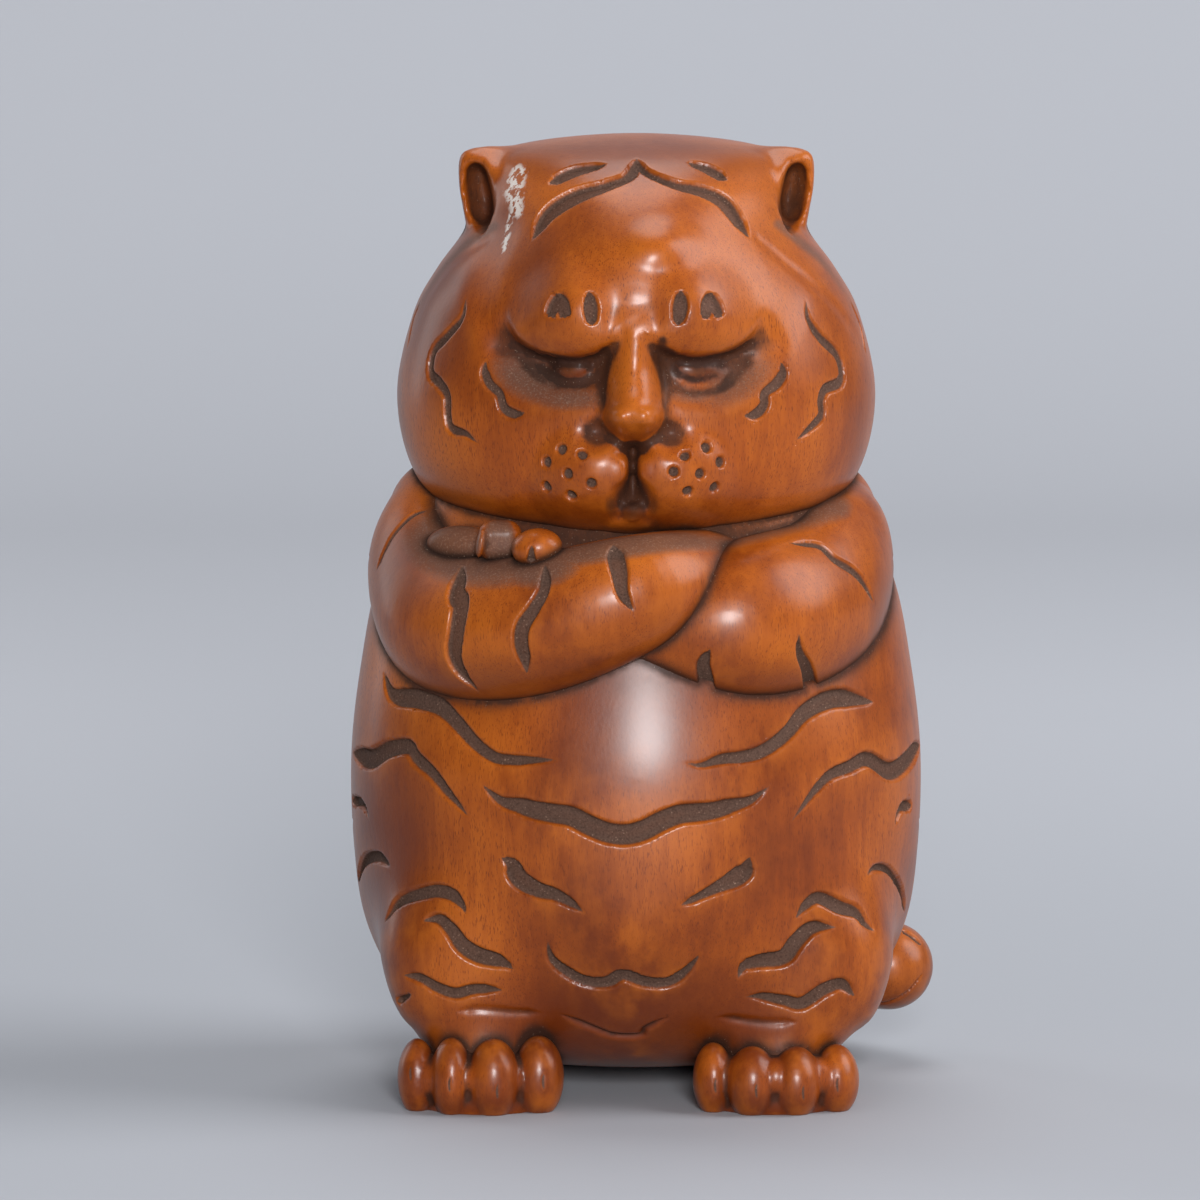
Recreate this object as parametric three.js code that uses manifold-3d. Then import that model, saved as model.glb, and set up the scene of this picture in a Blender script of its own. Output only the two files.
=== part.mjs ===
// A sulking tiger cat, carved from one block of boxwood: it sits upright with its forearms crossed.
// Millimetres, +Z up, front towards -Y. Left and right are the figure's own: its left is +X.
// The block is divided at its carved creases, and each form is a solid of its own.

import * as THREE from 'three';
import { mergeVertices } from 'three/addons/utils/BufferGeometryUtils.js';
import Module from 'manifold-3d';

const wasm = await Module();
wasm.setup();

// Clearance along every carved crease
const CREASE = 0.3;

// Torso: rounded, flat where the rump rests
const TORSO_HEIGHT = 55;
const TORSO_WIDTH = 48;
const BELLY_DEPTH = 20.5;
const BACK_DEPTH = 21.5;
const RUMP_FLAT = 1.2;

// Head
const HEAD_HEIGHT = 33.8;
const HEAD_WIDTH = 40;
const FACE_DEPTH = 18.5;
const NAPE_DEPTH = 16.5;
const HEAD_SINK = 8.8;

// Forehead, brows, eyes, nose and mouth, measured from the bottom of the head and out from the bare skull
const FOREHEAD_HEIGHT = 22.6;
const FOREHEAD_WIDTH = 24;
const FOREHEAD_TALL = 21;
const FOREHEAD_PROUD = 2;
const BROW_HEIGHT = 19.4;
const BROW_SPACING = 10.8;
const BROW_LENGTH = 10;
const BROW_TALL = 7.8;
const BROW_PROUD = 2.5;
const SOCKET_HEIGHT = 16.4;
const SOCKET_SPACING = 13.4;
const SOCKET_LENGTH = 14;
const SOCKET_TALL = 10;
const SOCKET_DEPTH = 1.7;
const EYE_HEIGHT = 15.2;
const EYE_SPACING = 10.6;
const EYE_LENGTH = 4.8;
const EYE_TALL = 2.6;
const EYE_SUNK = 0.4;
const NOSE_HEIGHT = 9.9;
const NOSE_LENGTH = 8.6;
const NOSE_WIDTH = 4.6;
const NOSE_PROUD = 3.7;
const MUZZLE_HEIGHT = 6.2;
const MUZZLE_SPACING = 8;
const MUZZLE_WIDTH = 12.4;
const MUZZLE_TALL = 11.4;
const MUZZLE_PROUD = 1.7;
const LIP_HEIGHT = 7;
const LIP_TALL = 5.4;
const LIP_GROOVE = 0.9;
const LIP_DEPTH = 2;

// Ears
const EAR_HEIGHT = 9.4;
const EAR_WIDTH = 4.8;
const EAR_DEPTH = 5.6;
const EAR_WALL = 0.8;
const EAR_SEAT = 28.2;
const EAR_INSET = 0.9;
const EAR_LEAN = 10;

// Arms, as half thicknesses and as heights above the ground
const SHOULDER_HEIGHT = 47.5;
const ELBOW_HEIGHT = 40;
const CROSSING_HEIGHT = 43.8;
const UPPER_ARM_HEIGHT = 43.75;
const UPPER_ARM = 5.6;
const FOREARM = 5.9;
const WRIST = 4.2;
const ARM_PROUD = 1.6;
const PAW_WIDTH = 4.2;
const PAW_HEIGHT = 3.8;
const PAW_OFFSET = 7.4;

// Legs and feet
const LEG_SPACING = 26;
const LEG_HEIGHT = 19;
const LEG_PROUD = 4.2;
const HAUNCH = 8.4;
const ANKLE = 5.4;
const ANKLE_HEIGHT = 5.2;
const FOOT_SPACING = 24;
const FOOT_OFFSET = -0.6;
const FOOT_LENGTH = 14;
const FOOT_WIDTH = 12.6;
const FOOT_HEIGHT = 5.4;
const TOES = 4;
const TOE_WIDTH = 3.9;
const TOE_LENGTH = 6.5;
const TOE_PROUD = 2.2;

// Tail
const TAIL_RADIUS = 3.6;
const TAIL_HEIGHT = 7.6;
const TAIL_BURIED = 0.8;

// Stripes, cut with a V gouge
const STRIPE_WIDTH = 1.3;
const STRIPE_DEPTH = 0.55;
const STRIPE_TAPER = 0.6;

// Facets round each large form and from pole to pole
const HEAD_FACETS = [36, 25];
const TORSO_FACETS = [36, 22];

const STAIN = { roughness: 0.38, metalness: 0 };
const MATERIALS = {
  chestnut: new THREE.MeshStandardMaterial({ color: 0x96461e, ...STAIN }),
  dark: new THREE.MeshStandardMaterial({ color: 0x6d3013, ...STAIN }),
  amber: new THREE.MeshStandardMaterial({ color: 0xa8551f, ...STAIN }),
};

// Rings of [height, half width, front, back], each a share of the form's own size. The end rings are poles,
// and a front below zero lies behind the middle.
const TORSO_RINGS = [
  [0, 0, -0.6, 0.57], [0.021, 0.38, -0.33, 0.83], [0.05, 0.56, 0.15, 0.91], [0.084, 0.69, 0.54, 0.955],
  [0.155, 0.83, 0.79, 0.995], [0.262, 0.95, 0.94, 1], [0.377, 0.992, 0.99, 1], [0.52, 1, 0.985, 0.965],
  [0.653, 0.965, 0.92, 0.9], [0.786, 0.9, 0.82, 0.82], [0.911, 0.76, 0.66, 0.68], [0.973, 0.5, 0.42, 0.46],
  [1, 0, 0, 0],
];
const HEAD_RINGS = [
  [0, 0, 0.1, -0.1], [0.03, 0.47, 0.66, 0.46], [0.09, 0.8, 0.88, 0.7], [0.19, 0.945, 0.975, 0.88],
  [0.367, 1, 1, 1], [0.56, 0.93, 0.975, 1.01], [0.67, 0.83, 0.93, 0.98], [0.77, 0.71, 0.85, 0.92],
  [0.88, 0.655, 0.68, 0.77], [0.965, 0.54, 0.42, 0.5], [1, 0, 0, 0],
];

// Stripes as [degrees round from the middle of the front or the back, share of the form's height]
const BELLY_STRIPES = [
  [[-65, 0.645], [-44, 0.61], [-34, 0.56], [-16, 0.54]],
  [[56, 0.61], [41, 0.615], [21, 0.545], [9, 0.535]],
  [[-80, 0.51], [-56, 0.54], [-45, 0.51], [-35, 0.45]],
  [[80, 0.52], [50, 0.525], [42, 0.51], [32, 0.445]],
  [[-32, 0.5], [-13, 0.457], [-2, 0.432], [8, 0.46], [27, 0.5]],
  [[-28, 0.39], [-17, 0.34], [-11, 0.315]],
  [[23, 0.39], [12, 0.335], [9, 0.325]],
  [[-19, 0.27], [-8, 0.205], [-2, 0.215], [6, 0.205], [13, 0.25]],
];
const BACK_STRIPES = [
  [[4, 0.745], [13, 0.775], [24, 0.75], [37, 0.778], [48, 0.753]],
  [[8, 0.618], [18, 0.647], [28, 0.622], [41, 0.655], [53, 0.636]],
  [[3, 0.498], [13, 0.527], [25, 0.502], [39, 0.542], [54, 0.52]],
  [[9, 0.378], [20, 0.407], [30, 0.382], [43, 0.415]],
  [[5, 0.265], [16, 0.291], [28, 0.269], [41, 0.298]],
];
const NAPE_STRIPES = [
  [[9, 0.808], [24, 0.852], [41, 0.817]],
  [[5, 0.63], [21, 0.686], [38, 0.645], [57, 0.675]],
  [[8, 0.453], [23, 0.503], [40, 0.462], [59, 0.497]],
  [[4, 0.275], [19, 0.325], [35, 0.284], [53, 0.32]],
];

// A closed form stacked from rounded rings along Z
class Stack {
  constructor(rings, { base, height, width, front, back }) {
    const sized = rings.map(([z, w, f, b]) => [base + z * height, w * width / 2, f * front, b * back]);
    const mirrored = ([z, w, f, b]) => [z, -w, -b, -f];
    const all = [mirrored(sized[1]), ...sized, mirrored(sized.at(-2))];
    this.outline = smooth(all.map(([z, w]) => new THREE.Vector3(w, 0, z)));
    this.depths = smooth(all.map(([, , f, b]) => new THREE.Vector3(f, b, 0)));
    this.spans = sized.length - 1;
  }

  // The point at share t of the way up the rings, at an angle counted from +X
  point(t, angle) {
    const u = (1 + t * this.spans) / (this.spans + 2);
    const side = this.outline.getPoint(u);
    const depth = this.depths.getPoint(u);
    const middle = (depth.y - depth.x) / 2;
    const reach = (depth.y + depth.x) / 2;
    return new THREE.Vector3(side.x * Math.cos(angle), middle + reach * Math.sin(angle), side.z);
  }

  // The point at a real height, found by halving, at an angle in degrees and pushed outwards by lift
  at(degrees, height, lift = 0) {
    let low = 0;
    let high = 1;
    for (let step = 0; step < 30; step += 1) {
      const middle = (low + high) / 2;
      if (this.point(middle, 0).z < height) low = middle;
      else high = middle;
    }
    const angle = THREE.MathUtils.degToRad(degrees);
    const place = this.point(low, angle);
    return place.add(new THREE.Vector3(Math.cos(angle), Math.sin(angle), 0).multiplyScalar(lift));
  }

  // The angle in degrees at which the front of the form lies x from the middle, at a real height
  angleAt(x, height) {
    const half = this.at(0, height).x;
    return -THREE.MathUtils.radToDeg(Math.acos(THREE.MathUtils.clamp(x / half, -1, 1)));
  }

  // The whole form; shape may move each point of its surface
  solid(around, up, grow = 0, shape = (point) => point) {
    return rounded(around, up, (t, angle) => shape(this.point(t, angle)), grow);
  }

  // A stripe's gouge, its points counted round from a middle direction in degrees; side -1 mirrors it
  gouge(stripe, base, height, middle, side = 1) {
    const turn = (round) => middle + side * round;
    const halfway = THREE.MathUtils.degToRad(turn(stripe[Math.floor(stripe.length / 2)][0]));
    const stops = stripe.map(([round, share], index) => {
      const isEnd = index === 0 || index === stripe.length - 1;
      const size = isEnd ? STRIPE_TAPER : 1;
      return [this.at(turn(round), base + share * height), size * STRIPE_WIDTH / 2, size * STRIPE_DEPTH];
    });
    return limb(stops, { around: 4, along: 6, upright: vector(Math.cos(halfway), Math.sin(halfway), 0) });
  }
}

function smooth(points) {
  return new THREE.CatmullRomCurve3(points, false, 'catmullrom', 0.5);
}

// A sphere whose every vertex is carried to place(share of the way from pole to pole, angle round the axis)
function rounded(around, up, place, grow = 0) {
  const sphere = new THREE.SphereGeometry(1, around, up).rotateX(Math.PI / 2);
  const position = sphere.attributes.position;
  const unit = new THREE.Vector3();
  for (let index = 0; index < position.count; index += 1) {
    unit.fromBufferAttribute(position, index);
    const t = Math.acos(THREE.MathUtils.clamp(-unit.z, -1, 1)) / Math.PI;
    const spot = place(t, Math.atan2(unit.y, unit.x));
    position.setXYZ(index, spot.x, spot.y, spot.z);
  }
  return toSolid(sphere, grow);
}

// A limb round a centre line: each stop is [point, half thickness outwards, half thickness upwards]
function limb(stops, { around, along, grow = 0, upright = new THREE.Vector3(0, 0, 1) }) {
  const line = smooth(stops.map(([point]) => point));
  const girth = smooth(stops.map(([, out, tall]) => new THREE.Vector3(out + grow, tall + grow, 0)));
  const cap = 0.2;
  return rounded(around, along, (t, angle) => {
    const run = THREE.MathUtils.clamp((t - cap) / (1 - 2 * cap), 0, 1);
    const past = Math.max(cap - t, t - 1 + cap, 0) / cap * Math.PI / 2;
    const forwards = line.getTangent(run);
    const outwards = forwards.clone().cross(upright).normalize();
    const upwards = forwards.clone().cross(outwards);
    const size = girth.getPoint(run);
    const overhang = Math.sign(t - 0.5) * Math.sin(past) * size.x;
    const centre = line.getPoint(run).addScaledVector(forwards, overhang);
    return centre
      .addScaledVector(outwards, size.x * Math.cos(past) * Math.cos(angle))
      .addScaledVector(upwards, size.y * Math.cos(past) * Math.sin(angle));
  });
}

// An egg of the given full sizes, turned about Y by lean and about Z by turn, in degrees
function egg(size, centre, { around = 14, up = 10, lean = 0, turn = 0, grow = 0 } = {}) {
  const geometry = new THREE.SphereGeometry(0.5, around, up).rotateX(Math.PI / 2);
  geometry.scale(size.x + 2 * grow, size.y + 2 * grow, size.z + 2 * grow);
  geometry.rotateY(THREE.MathUtils.degToRad(lean));
  geometry.rotateZ(THREE.MathUtils.degToRad(turn));
  geometry.translate(centre.x, centre.y, centre.z);
  return toSolid(geometry);
}

function vector(x, y, z) {
  return new THREE.Vector3(x, y, z);
}

// A closed geometry as a solid, its skin moved outwards by grow
function toSolid(geometry, grow = 0) {
  geometry.deleteAttribute('normal');
  geometry.deleteAttribute('uv');
  const merged = mergeVertices(geometry, 1e-4);
  if (grow !== 0) {
    merged.computeVertexNormals();
    const { position, normal } = merged.attributes;
    for (let index = 0; index < position.count; index += 1) {
      position.setXYZ(
        index,
        position.getX(index) + grow * normal.getX(index),
        position.getY(index) + grow * normal.getY(index),
        position.getZ(index) + grow * normal.getZ(index),
      );
    }
    merged.deleteAttribute('normal');
  }
  const solid = new wasm.Mesh({
    numProp: 3,
    vertProperties: new Float32Array(merged.attributes.position.array),
    triVerts: new Uint32Array(merged.index.array),
  });
  solid.merge();
  return new wasm.Manifold(solid);
}

// The largest body of a solid, without the chips that a cut leaves
function largest(solid) {
  const bodies = solid.decompose();
  return bodies.reduce((best, body) => (body.volume() > best.volume() ? body : best));
}

function toMesh(name, solid, material, seat) {
  const { numProp, vertProperties, triVerts } = largest(solid).getMesh();
  const points = [];
  for (let start = 0; start < vertProperties.length; start += numProp) {
    points.push(vertProperties[start], vertProperties[start + 1], vertProperties[start + 2]);
  }
  const geometry = new THREE.BufferGeometry();
  geometry.setAttribute('position', new THREE.Float32BufferAttribute(points, 3));
  geometry.setIndex(Array.from(triVerts));
  geometry.translate(-seat.x, -seat.y, -seat.z);
  geometry.computeVertexNormals();
  const mesh = new THREE.Mesh(geometry, material);
  mesh.name = name;
  mesh.position.copy(seat);
  return mesh;
}

const torso = new Stack(TORSO_RINGS, {
  base: -RUMP_FLAT,
  height: TORSO_HEIGHT + RUMP_FLAT,
  width: TORSO_WIDTH,
  front: BELLY_DEPTH,
  back: BACK_DEPTH,
});
const HEAD_BASE = TORSO_HEIGHT - HEAD_SINK;
const head = new Stack(HEAD_RINGS, {
  base: HEAD_BASE,
  height: HEAD_HEIGHT,
  width: HEAD_WIDTH,
  front: FACE_DEPTH,
  back: NAPE_DEPTH,
});

// The ground, as a slab that everything is cut off at
function ground() {
  const size = 4 * TORSO_WIDTH;
  return toSolid(new THREE.BoxGeometry(size, size, size).translate(0, 0, -size / 2));
}

// A point on the front of the face, at x from the middle and at a height above the bottom of the head
function onFace(x, height, lift = 0) {
  const level = HEAD_BASE + height;
  return head.at(head.angleAt(x, level), level, lift);
}

// How much of a soft swelling there is at a place: 1 at its middle, 0 at its edge
function swell(across, rise, width, tall) {
  return Math.max(0, 1 - (2 * across / width) ** 2 - (2 * rise / tall) ** 2);
}

// The bare skull's surface with forehead and muzzle swelling out and the eye sockets sunk in
function faceShape(point) {
  if (point.y > 0) return point;
  const height = point.z - HEAD_BASE;
  const aside = Math.abs(point.x);
  const forehead = swell(aside, height - FOREHEAD_HEIGHT, FOREHEAD_WIDTH, FOREHEAD_TALL);
  const socket = swell(aside - SOCKET_SPACING / 2, height - SOCKET_HEIGHT, SOCKET_LENGTH, SOCKET_TALL);
  const muzzle = swell(aside - MUZZLE_SPACING / 2, height - MUZZLE_HEIGHT, MUZZLE_WIDTH, MUZZLE_TALL);
  const lift = FOREHEAD_PROUD * forehead + MUZZLE_PROUD * muzzle ** 1.5 - SOCKET_DEPTH * socket ** 1.5;
  return point.add(vector(0, -lift, 0));
}

// Skull with two overhanging brows, eyes in their sockets, nose, muzzle pads and the split lip
function buildHead(grow = 0) {
  let skull = head.solid(...HEAD_FACETS, grow, faceShape);
  if (grow > 0) return skull;
  const browSize = vector(BROW_LENGTH, BROW_TALL * 0.8, BROW_TALL);
  const eyeSize = vector(EYE_LENGTH, EYE_TALL, EYE_TALL);
  for (const side of [-1, 1]) {
    const eye = onFace(side * EYE_SPACING / 2, EYE_HEIGHT, -EYE_SUNK - EYE_TALL / 2);
    const brow = onFace(side * BROW_SPACING / 2, BROW_HEIGHT, BROW_PROUD - browSize.y / 2);
    skull = skull.add(egg(eyeSize, eye, { around: 12, up: 6, turn: side * 15 }));
    skull = skull.add(egg(browSize, brow, { around: 14, up: 8, lean: -side * 6, turn: side * 30 }));
  }
  const bridge = onFace(0, NOSE_HEIGHT + NOSE_LENGTH, FOREHEAD_PROUD - NOSE_WIDTH * 0.36);
  const ridge = onFace(0, NOSE_HEIGHT + NOSE_LENGTH * 0.6, NOSE_PROUD * 0.66 - NOSE_WIDTH * 0.4);
  const tip = onFace(0, NOSE_HEIGHT + NOSE_WIDTH / 2, NOSE_PROUD - NOSE_WIDTH / 2);
  skull = skull.add(limb([
    [bridge, NOSE_WIDTH * 0.3, NOSE_WIDTH * 0.36],
    [ridge, NOSE_WIDTH * 0.4, NOSE_WIDTH * 0.4],
    [tip, NOSE_WIDTH * 0.5, NOSE_WIDTH * 0.5],
  ], { around: 12, along: 10, upright: vector(0, -1, 0) }));
  const lip = onFace(0, LIP_HEIGHT, MUZZLE_PROUD);
  const lipSize = vector(LIP_GROOVE, 2 * LIP_DEPTH, LIP_TALL);
  skull = skull.subtract(egg(lipSize, lip, { around: 10, up: 8 }));
  for (const stripe of NAPE_STRIPES) {
    skull = skull.subtract(head.gouge(stripe, HEAD_BASE, HEAD_HEIGHT, 90, -1));
    skull = skull.subtract(head.gouge(stripe, HEAD_BASE, HEAD_HEIGHT, 90, 1));
  }
  return skull;
}

// A cupped ear, leaning outwards: an egg hollowed from the front by a smaller one
function buildEar(side) {
  const seat = head.at(side < 0 ? 180 : 0, HEAD_BASE + EAR_SEAT);
  const centre = seat.clone().add(vector(-side * EAR_INSET, -EAR_DEPTH * 0.15, 0));
  const lean = side * EAR_LEAN;
  const outer = egg(vector(EAR_WIDTH, EAR_DEPTH, EAR_HEIGHT), centre, { around: 16, up: 12, lean });
  const cup = vector(EAR_WIDTH - 2 * EAR_WALL, EAR_DEPTH, EAR_HEIGHT - 2 * EAR_WALL);
  const mouth = centre.clone().add(vector(side * EAR_WALL, -2 * EAR_WALL, 0));
  return { seat, solid: outer.subtract(egg(cup, mouth, { around: 12, up: 10, lean })) };
}

// The arm in front: from the right shoulder round the elbow and across the chest, its end tucked
// under the left
function rightArm(grow = 0) {
  const stop = (degrees, height, lift, out, tall) => [torso.at(degrees, height, lift), out, tall];
  return limb([
    stop(178, SHOULDER_HEIGHT, ARM_PROUD - UPPER_ARM, UPPER_ARM * 0.9, UPPER_ARM),
    stop(197, UPPER_ARM_HEIGHT, ARM_PROUD - UPPER_ARM * 0.95, UPPER_ARM, UPPER_ARM * 1.1),
    stop(222, ELBOW_HEIGHT, ARM_PROUD - FOREARM * 0.7, FOREARM, FOREARM * 1.1),
    stop(247, ELBOW_HEIGHT + 0.4, ARM_PROUD - FOREARM * 0.3, FOREARM * 0.95, FOREARM),
    stop(269, CROSSING_HEIGHT, ARM_PROUD, WRIST * 1.1, WRIST * 1.15),
    stop(290, CROSSING_HEIGHT + 1.8, ARM_PROUD - WRIST * 1.3, WRIST * 0.8, WRIST * 0.7),
  ], { around: 14, along: 20, grow });
}

// The arm behind: the same way round from the left, passing under the right forearm
function leftArm(grow = 0) {
  const stop = (degrees, height, lift, out, tall) => [torso.at(degrees, height, lift), out, tall];
  return limb([
    stop(2, SHOULDER_HEIGHT, ARM_PROUD - UPPER_ARM * 1.1, UPPER_ARM * 0.9, UPPER_ARM),
    stop(-17, UPPER_ARM_HEIGHT, ARM_PROUD - UPPER_ARM * 1.1, UPPER_ARM, UPPER_ARM * 1.2),
    stop(-42, ELBOW_HEIGHT + 0.6, ARM_PROUD - FOREARM * 0.87, FOREARM, FOREARM * 1.15),
    stop(-66, ELBOW_HEIGHT, ARM_PROUD - FOREARM * 0.6, FOREARM, FOREARM * 1.1),
    stop(-90, ELBOW_HEIGHT, ARM_PROUD - FOREARM * 0.8, WRIST, WRIST),
  ], { around: 14, along: 18, grow });
}

// The left paw, laid on the right upper arm
function leftPaw(grow = 0) {
  const seat = torso.at(torso.angleAt(-PAW_OFFSET, CROSSING_HEIGHT), CROSSING_HEIGHT, ARM_PROUD + 1.6);
  const centre = seat.add(vector(0, 0, PAW_HEIGHT));
  const thumb = egg(vector(PAW_WIDTH, PAW_WIDTH, PAW_HEIGHT), centre, { around: 12, up: 6, grow });
  const back = centre.clone().add(vector(-PAW_WIDTH, 0.8, -0.2));
  const backSize = vector(PAW_WIDTH * 1.6, PAW_WIDTH, PAW_HEIGHT * 0.9);
  return thumb.add(egg(backSize, back, { around: 12, up: 6, turn: -20, grow }));
}

function legStops(side) {
  const front = torso.at(torso.angleAt(side * LEG_SPACING / 2, LEG_HEIGHT / 2), LEG_HEIGHT / 2).y;
  const hip = HAUNCH * 0.8;
  const footX = side * FOOT_SPACING / 2 + FOOT_OFFSET;
  const ankle = vector(footX, front + ANKLE - LEG_PROUD * 0.75, ANKLE_HEIGHT);
  const haunch = vector(side * LEG_SPACING / 2, front + HAUNCH - LEG_PROUD, LEG_HEIGHT / 2);
  const top = vector(side * LEG_SPACING / 2, front + hip - LEG_PROUD / 2, LEG_HEIGHT - hip);
  return [[ankle, ANKLE, ANKLE], [haunch, HAUNCH, HAUNCH], [top, hip, hip]];
}

function buildLeg(side, grow = 0) {
  return limb(legStops(side), { around: 16, along: 11, grow, upright: vector(0, 1, 0) });
}

// A foot: an instep with four toes along its front, the outer ones set back
function buildFoot(side, grow = 0) {
  const [[ankle]] = legStops(side);
  const toeLine = ankle.y - ANKLE - TOE_PROUD + TOE_LENGTH / 2;
  const middle = side * FOOT_SPACING / 2 + FOOT_OFFSET;
  const instep = vector(middle, toeLine + FOOT_LENGTH / 2 - TOE_LENGTH * 0.2, FOOT_HEIGHT * 0.28);
  let foot = egg(vector(FOOT_WIDTH, FOOT_LENGTH, FOOT_HEIGHT * 1.5), instep, { around: 12, up: 8, grow });
  const pitch = (FOOT_WIDTH - TOE_WIDTH) / (TOES - 1);
  const toeSize = vector(TOE_WIDTH, TOE_LENGTH, FOOT_HEIGHT * 1.05);
  for (let toe = 0; toe < TOES; toe += 1) {
    const across = (toe - (TOES - 1) / 2) * pitch;
    const set = (across / FOOT_WIDTH) ** 2 * TOE_LENGTH * 1.6;
    const centre = vector(middle + across, toeLine + set, FOOT_HEIGHT * 0.42);
    foot = foot.add(egg(toeSize, centre, { around: 10, up: 6, grow }));
  }
  return foot;
}

// The tail: out of the back at the right, along the ground round the left hip, with a blunt end
function buildTail(grow = 0) {
  const stop = (degrees, height, size, buried = TAIL_BURIED) => [
    torso.at(degrees, height, TAIL_RADIUS * size - buried), TAIL_RADIUS * size, TAIL_RADIUS * size,
  ];
  return limb([
    stop(106, TAIL_HEIGHT * 1.3, 0.9, TAIL_RADIUS * 1.4),
    stop(84, TAIL_HEIGHT, 0.95),
    stop(58, TAIL_HEIGHT * 0.95, 1),
    stop(34, TAIL_HEIGHT, 1.05),
    stop(20, TAIL_HEIGHT * 1.08, 1.05),
  ], { around: 14, along: 16, grow });
}

// The room that each form takes up in its neighbours is the form grown by a crease
const floor = ground();
const headSpace = buildHead(CREASE);
const rightArmSpace = rightArm(CREASE);
const pawSpace = leftPaw(CREASE);
const ears = { right: buildEar(-1), left: buildEar(1) };

const figure = new THREE.Group();

const headGroup = new THREE.Group();
headGroup.position.z = HEAD_BASE;
figure.add(headGroup);
const fromHead = (place) => place.clone().sub(headGroup.position);
const lowered = (solid) => solid.translate([0, 0, -HEAD_BASE]);
headGroup.add(toMesh('head', lowered(buildHead()), MATERIALS.chestnut, vector(0, 0, 0)));
for (const [name, ear] of Object.entries(ears)) {
  const trimmed = ear.solid.subtract(headSpace);
  headGroup.add(toMesh(`ear_${name}`, lowered(trimmed), MATERIALS.amber, fromHead(ear.seat)));
}

const shoulder = vector(0, 0, SHOULDER_HEIGHT);
const armInFront = rightArm().subtract(headSpace).subtract(pawSpace);
const armBehind = leftArm().subtract(headSpace).subtract(rightArmSpace).subtract(pawSpace);
figure.add(toMesh('arm_right', armInFront, MATERIALS.amber, shoulder));
figure.add(toMesh('arm_left', armBehind, MATERIALS.chestnut, shoulder));
figure.add(toMesh('paw_left', leftPaw().subtract(headSpace), MATERIALS.amber, shoulder));

let trunk = torso.solid(...TORSO_FACETS)
  .subtract(floor)
  .subtract(headSpace)
  .subtract(rightArmSpace)
  .subtract(leftArm(CREASE))
  .subtract(pawSpace)
  .subtract(buildTail(CREASE));
for (const stripe of BELLY_STRIPES) trunk = trunk.subtract(torso.gouge(stripe, 0, TORSO_HEIGHT, -90));
for (const stripe of BACK_STRIPES) {
  trunk = trunk.subtract(torso.gouge(stripe, 0, TORSO_HEIGHT, 90, -1));
  trunk = trunk.subtract(torso.gouge(stripe, 0, TORSO_HEIGHT, 90, 1));
}
for (const [name, side] of [['right', -1], ['left', 1]]) {
  const footSpace = buildFoot(side, CREASE);
  const seat = vector(side * FOOT_SPACING / 2, 0, 0);
  trunk = trunk.subtract(buildLeg(side, CREASE)).subtract(footSpace);
  const leg = buildLeg(side).subtract(footSpace).subtract(floor);
  figure.add(toMesh(`leg_${name}`, leg, MATERIALS.chestnut, seat));
  figure.add(toMesh(`foot_${name}`, buildFoot(side).subtract(floor), MATERIALS.amber, seat));
}
figure.add(toMesh('torso', trunk, MATERIALS.dark, vector(0, 0, 0)));
figure.add(toMesh('tail', buildTail().subtract(floor), MATERIALS.dark, vector(0, 0, 0)));

// The origin lies on the ground, in the middle of the figure's outline from above
const middle = new THREE.Box3().setFromObject(figure).getCenter(vector(0, 0, 0));
figure.position.set(-middle.x, -middle.y, 0);

export default figure;
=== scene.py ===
"""A sulking tiger cat, carved from one block of boxwood, stained red-brown and polished.

Forms are built in millimetres round the figure's own upright axis, front towards -Y, and are moved into
the frame's metres when they are finished. Left and right are the figure's own, so its left is +X.
"""

import logging
import math
from dataclasses import dataclass
from enum import Enum
from typing import Callable, Iterable, Sequence

import bmesh
import bpy
import numpy as np
from mathutils import Euler, Matrix, Vector, kdtree
from mathutils.bvhtree import BVHTree


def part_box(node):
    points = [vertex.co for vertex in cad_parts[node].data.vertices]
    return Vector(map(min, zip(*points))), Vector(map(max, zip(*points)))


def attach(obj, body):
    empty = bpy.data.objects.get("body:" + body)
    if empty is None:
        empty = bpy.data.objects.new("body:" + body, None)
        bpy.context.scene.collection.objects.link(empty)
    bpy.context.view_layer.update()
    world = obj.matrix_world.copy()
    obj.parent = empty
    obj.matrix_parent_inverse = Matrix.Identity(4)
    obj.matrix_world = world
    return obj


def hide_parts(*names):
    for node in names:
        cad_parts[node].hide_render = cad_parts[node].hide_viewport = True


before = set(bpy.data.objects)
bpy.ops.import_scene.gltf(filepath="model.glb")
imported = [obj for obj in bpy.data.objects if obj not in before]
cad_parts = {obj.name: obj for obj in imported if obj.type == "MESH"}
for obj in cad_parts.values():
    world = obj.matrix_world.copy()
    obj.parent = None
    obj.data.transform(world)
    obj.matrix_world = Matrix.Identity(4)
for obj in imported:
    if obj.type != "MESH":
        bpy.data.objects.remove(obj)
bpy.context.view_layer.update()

LOG = logging.getLogger("carving")
MILLIMETRE = 0.001
Points = Sequence[tuple[float, float]]
Ball = tuple[float, float, float, float]
Colour = tuple[float, float, float, float]


class Carve(Enum):
    """How a cut is shaped."""

    GOUGE = "flat floor between steep walls"
    VALLEY = "soft hollow with no edge"


class Mark(Enum):
    """What the finish reads from a skin, each kept as a mesh attribute of that name."""

    CUT = "cut"
    HOLLOW = "hollow"
    HIGH = "high"
    # Painted shade in creases, under the brows, round the nose and mouth, and where pieces meet.
    CREASE = "crease"
    ROUGH = "rough"
    # Painted glints on a worn patch.
    CHIP = "chip"
    # Mostly painted shade on sides, undersides and between parts, with some darker wood.
    DEEP = "deep"

    @property
    def blank(self) -> float:
        """Its value where the skin has no such mark."""
        return -1.0 if self is Mark.CUT else 0.0


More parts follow.
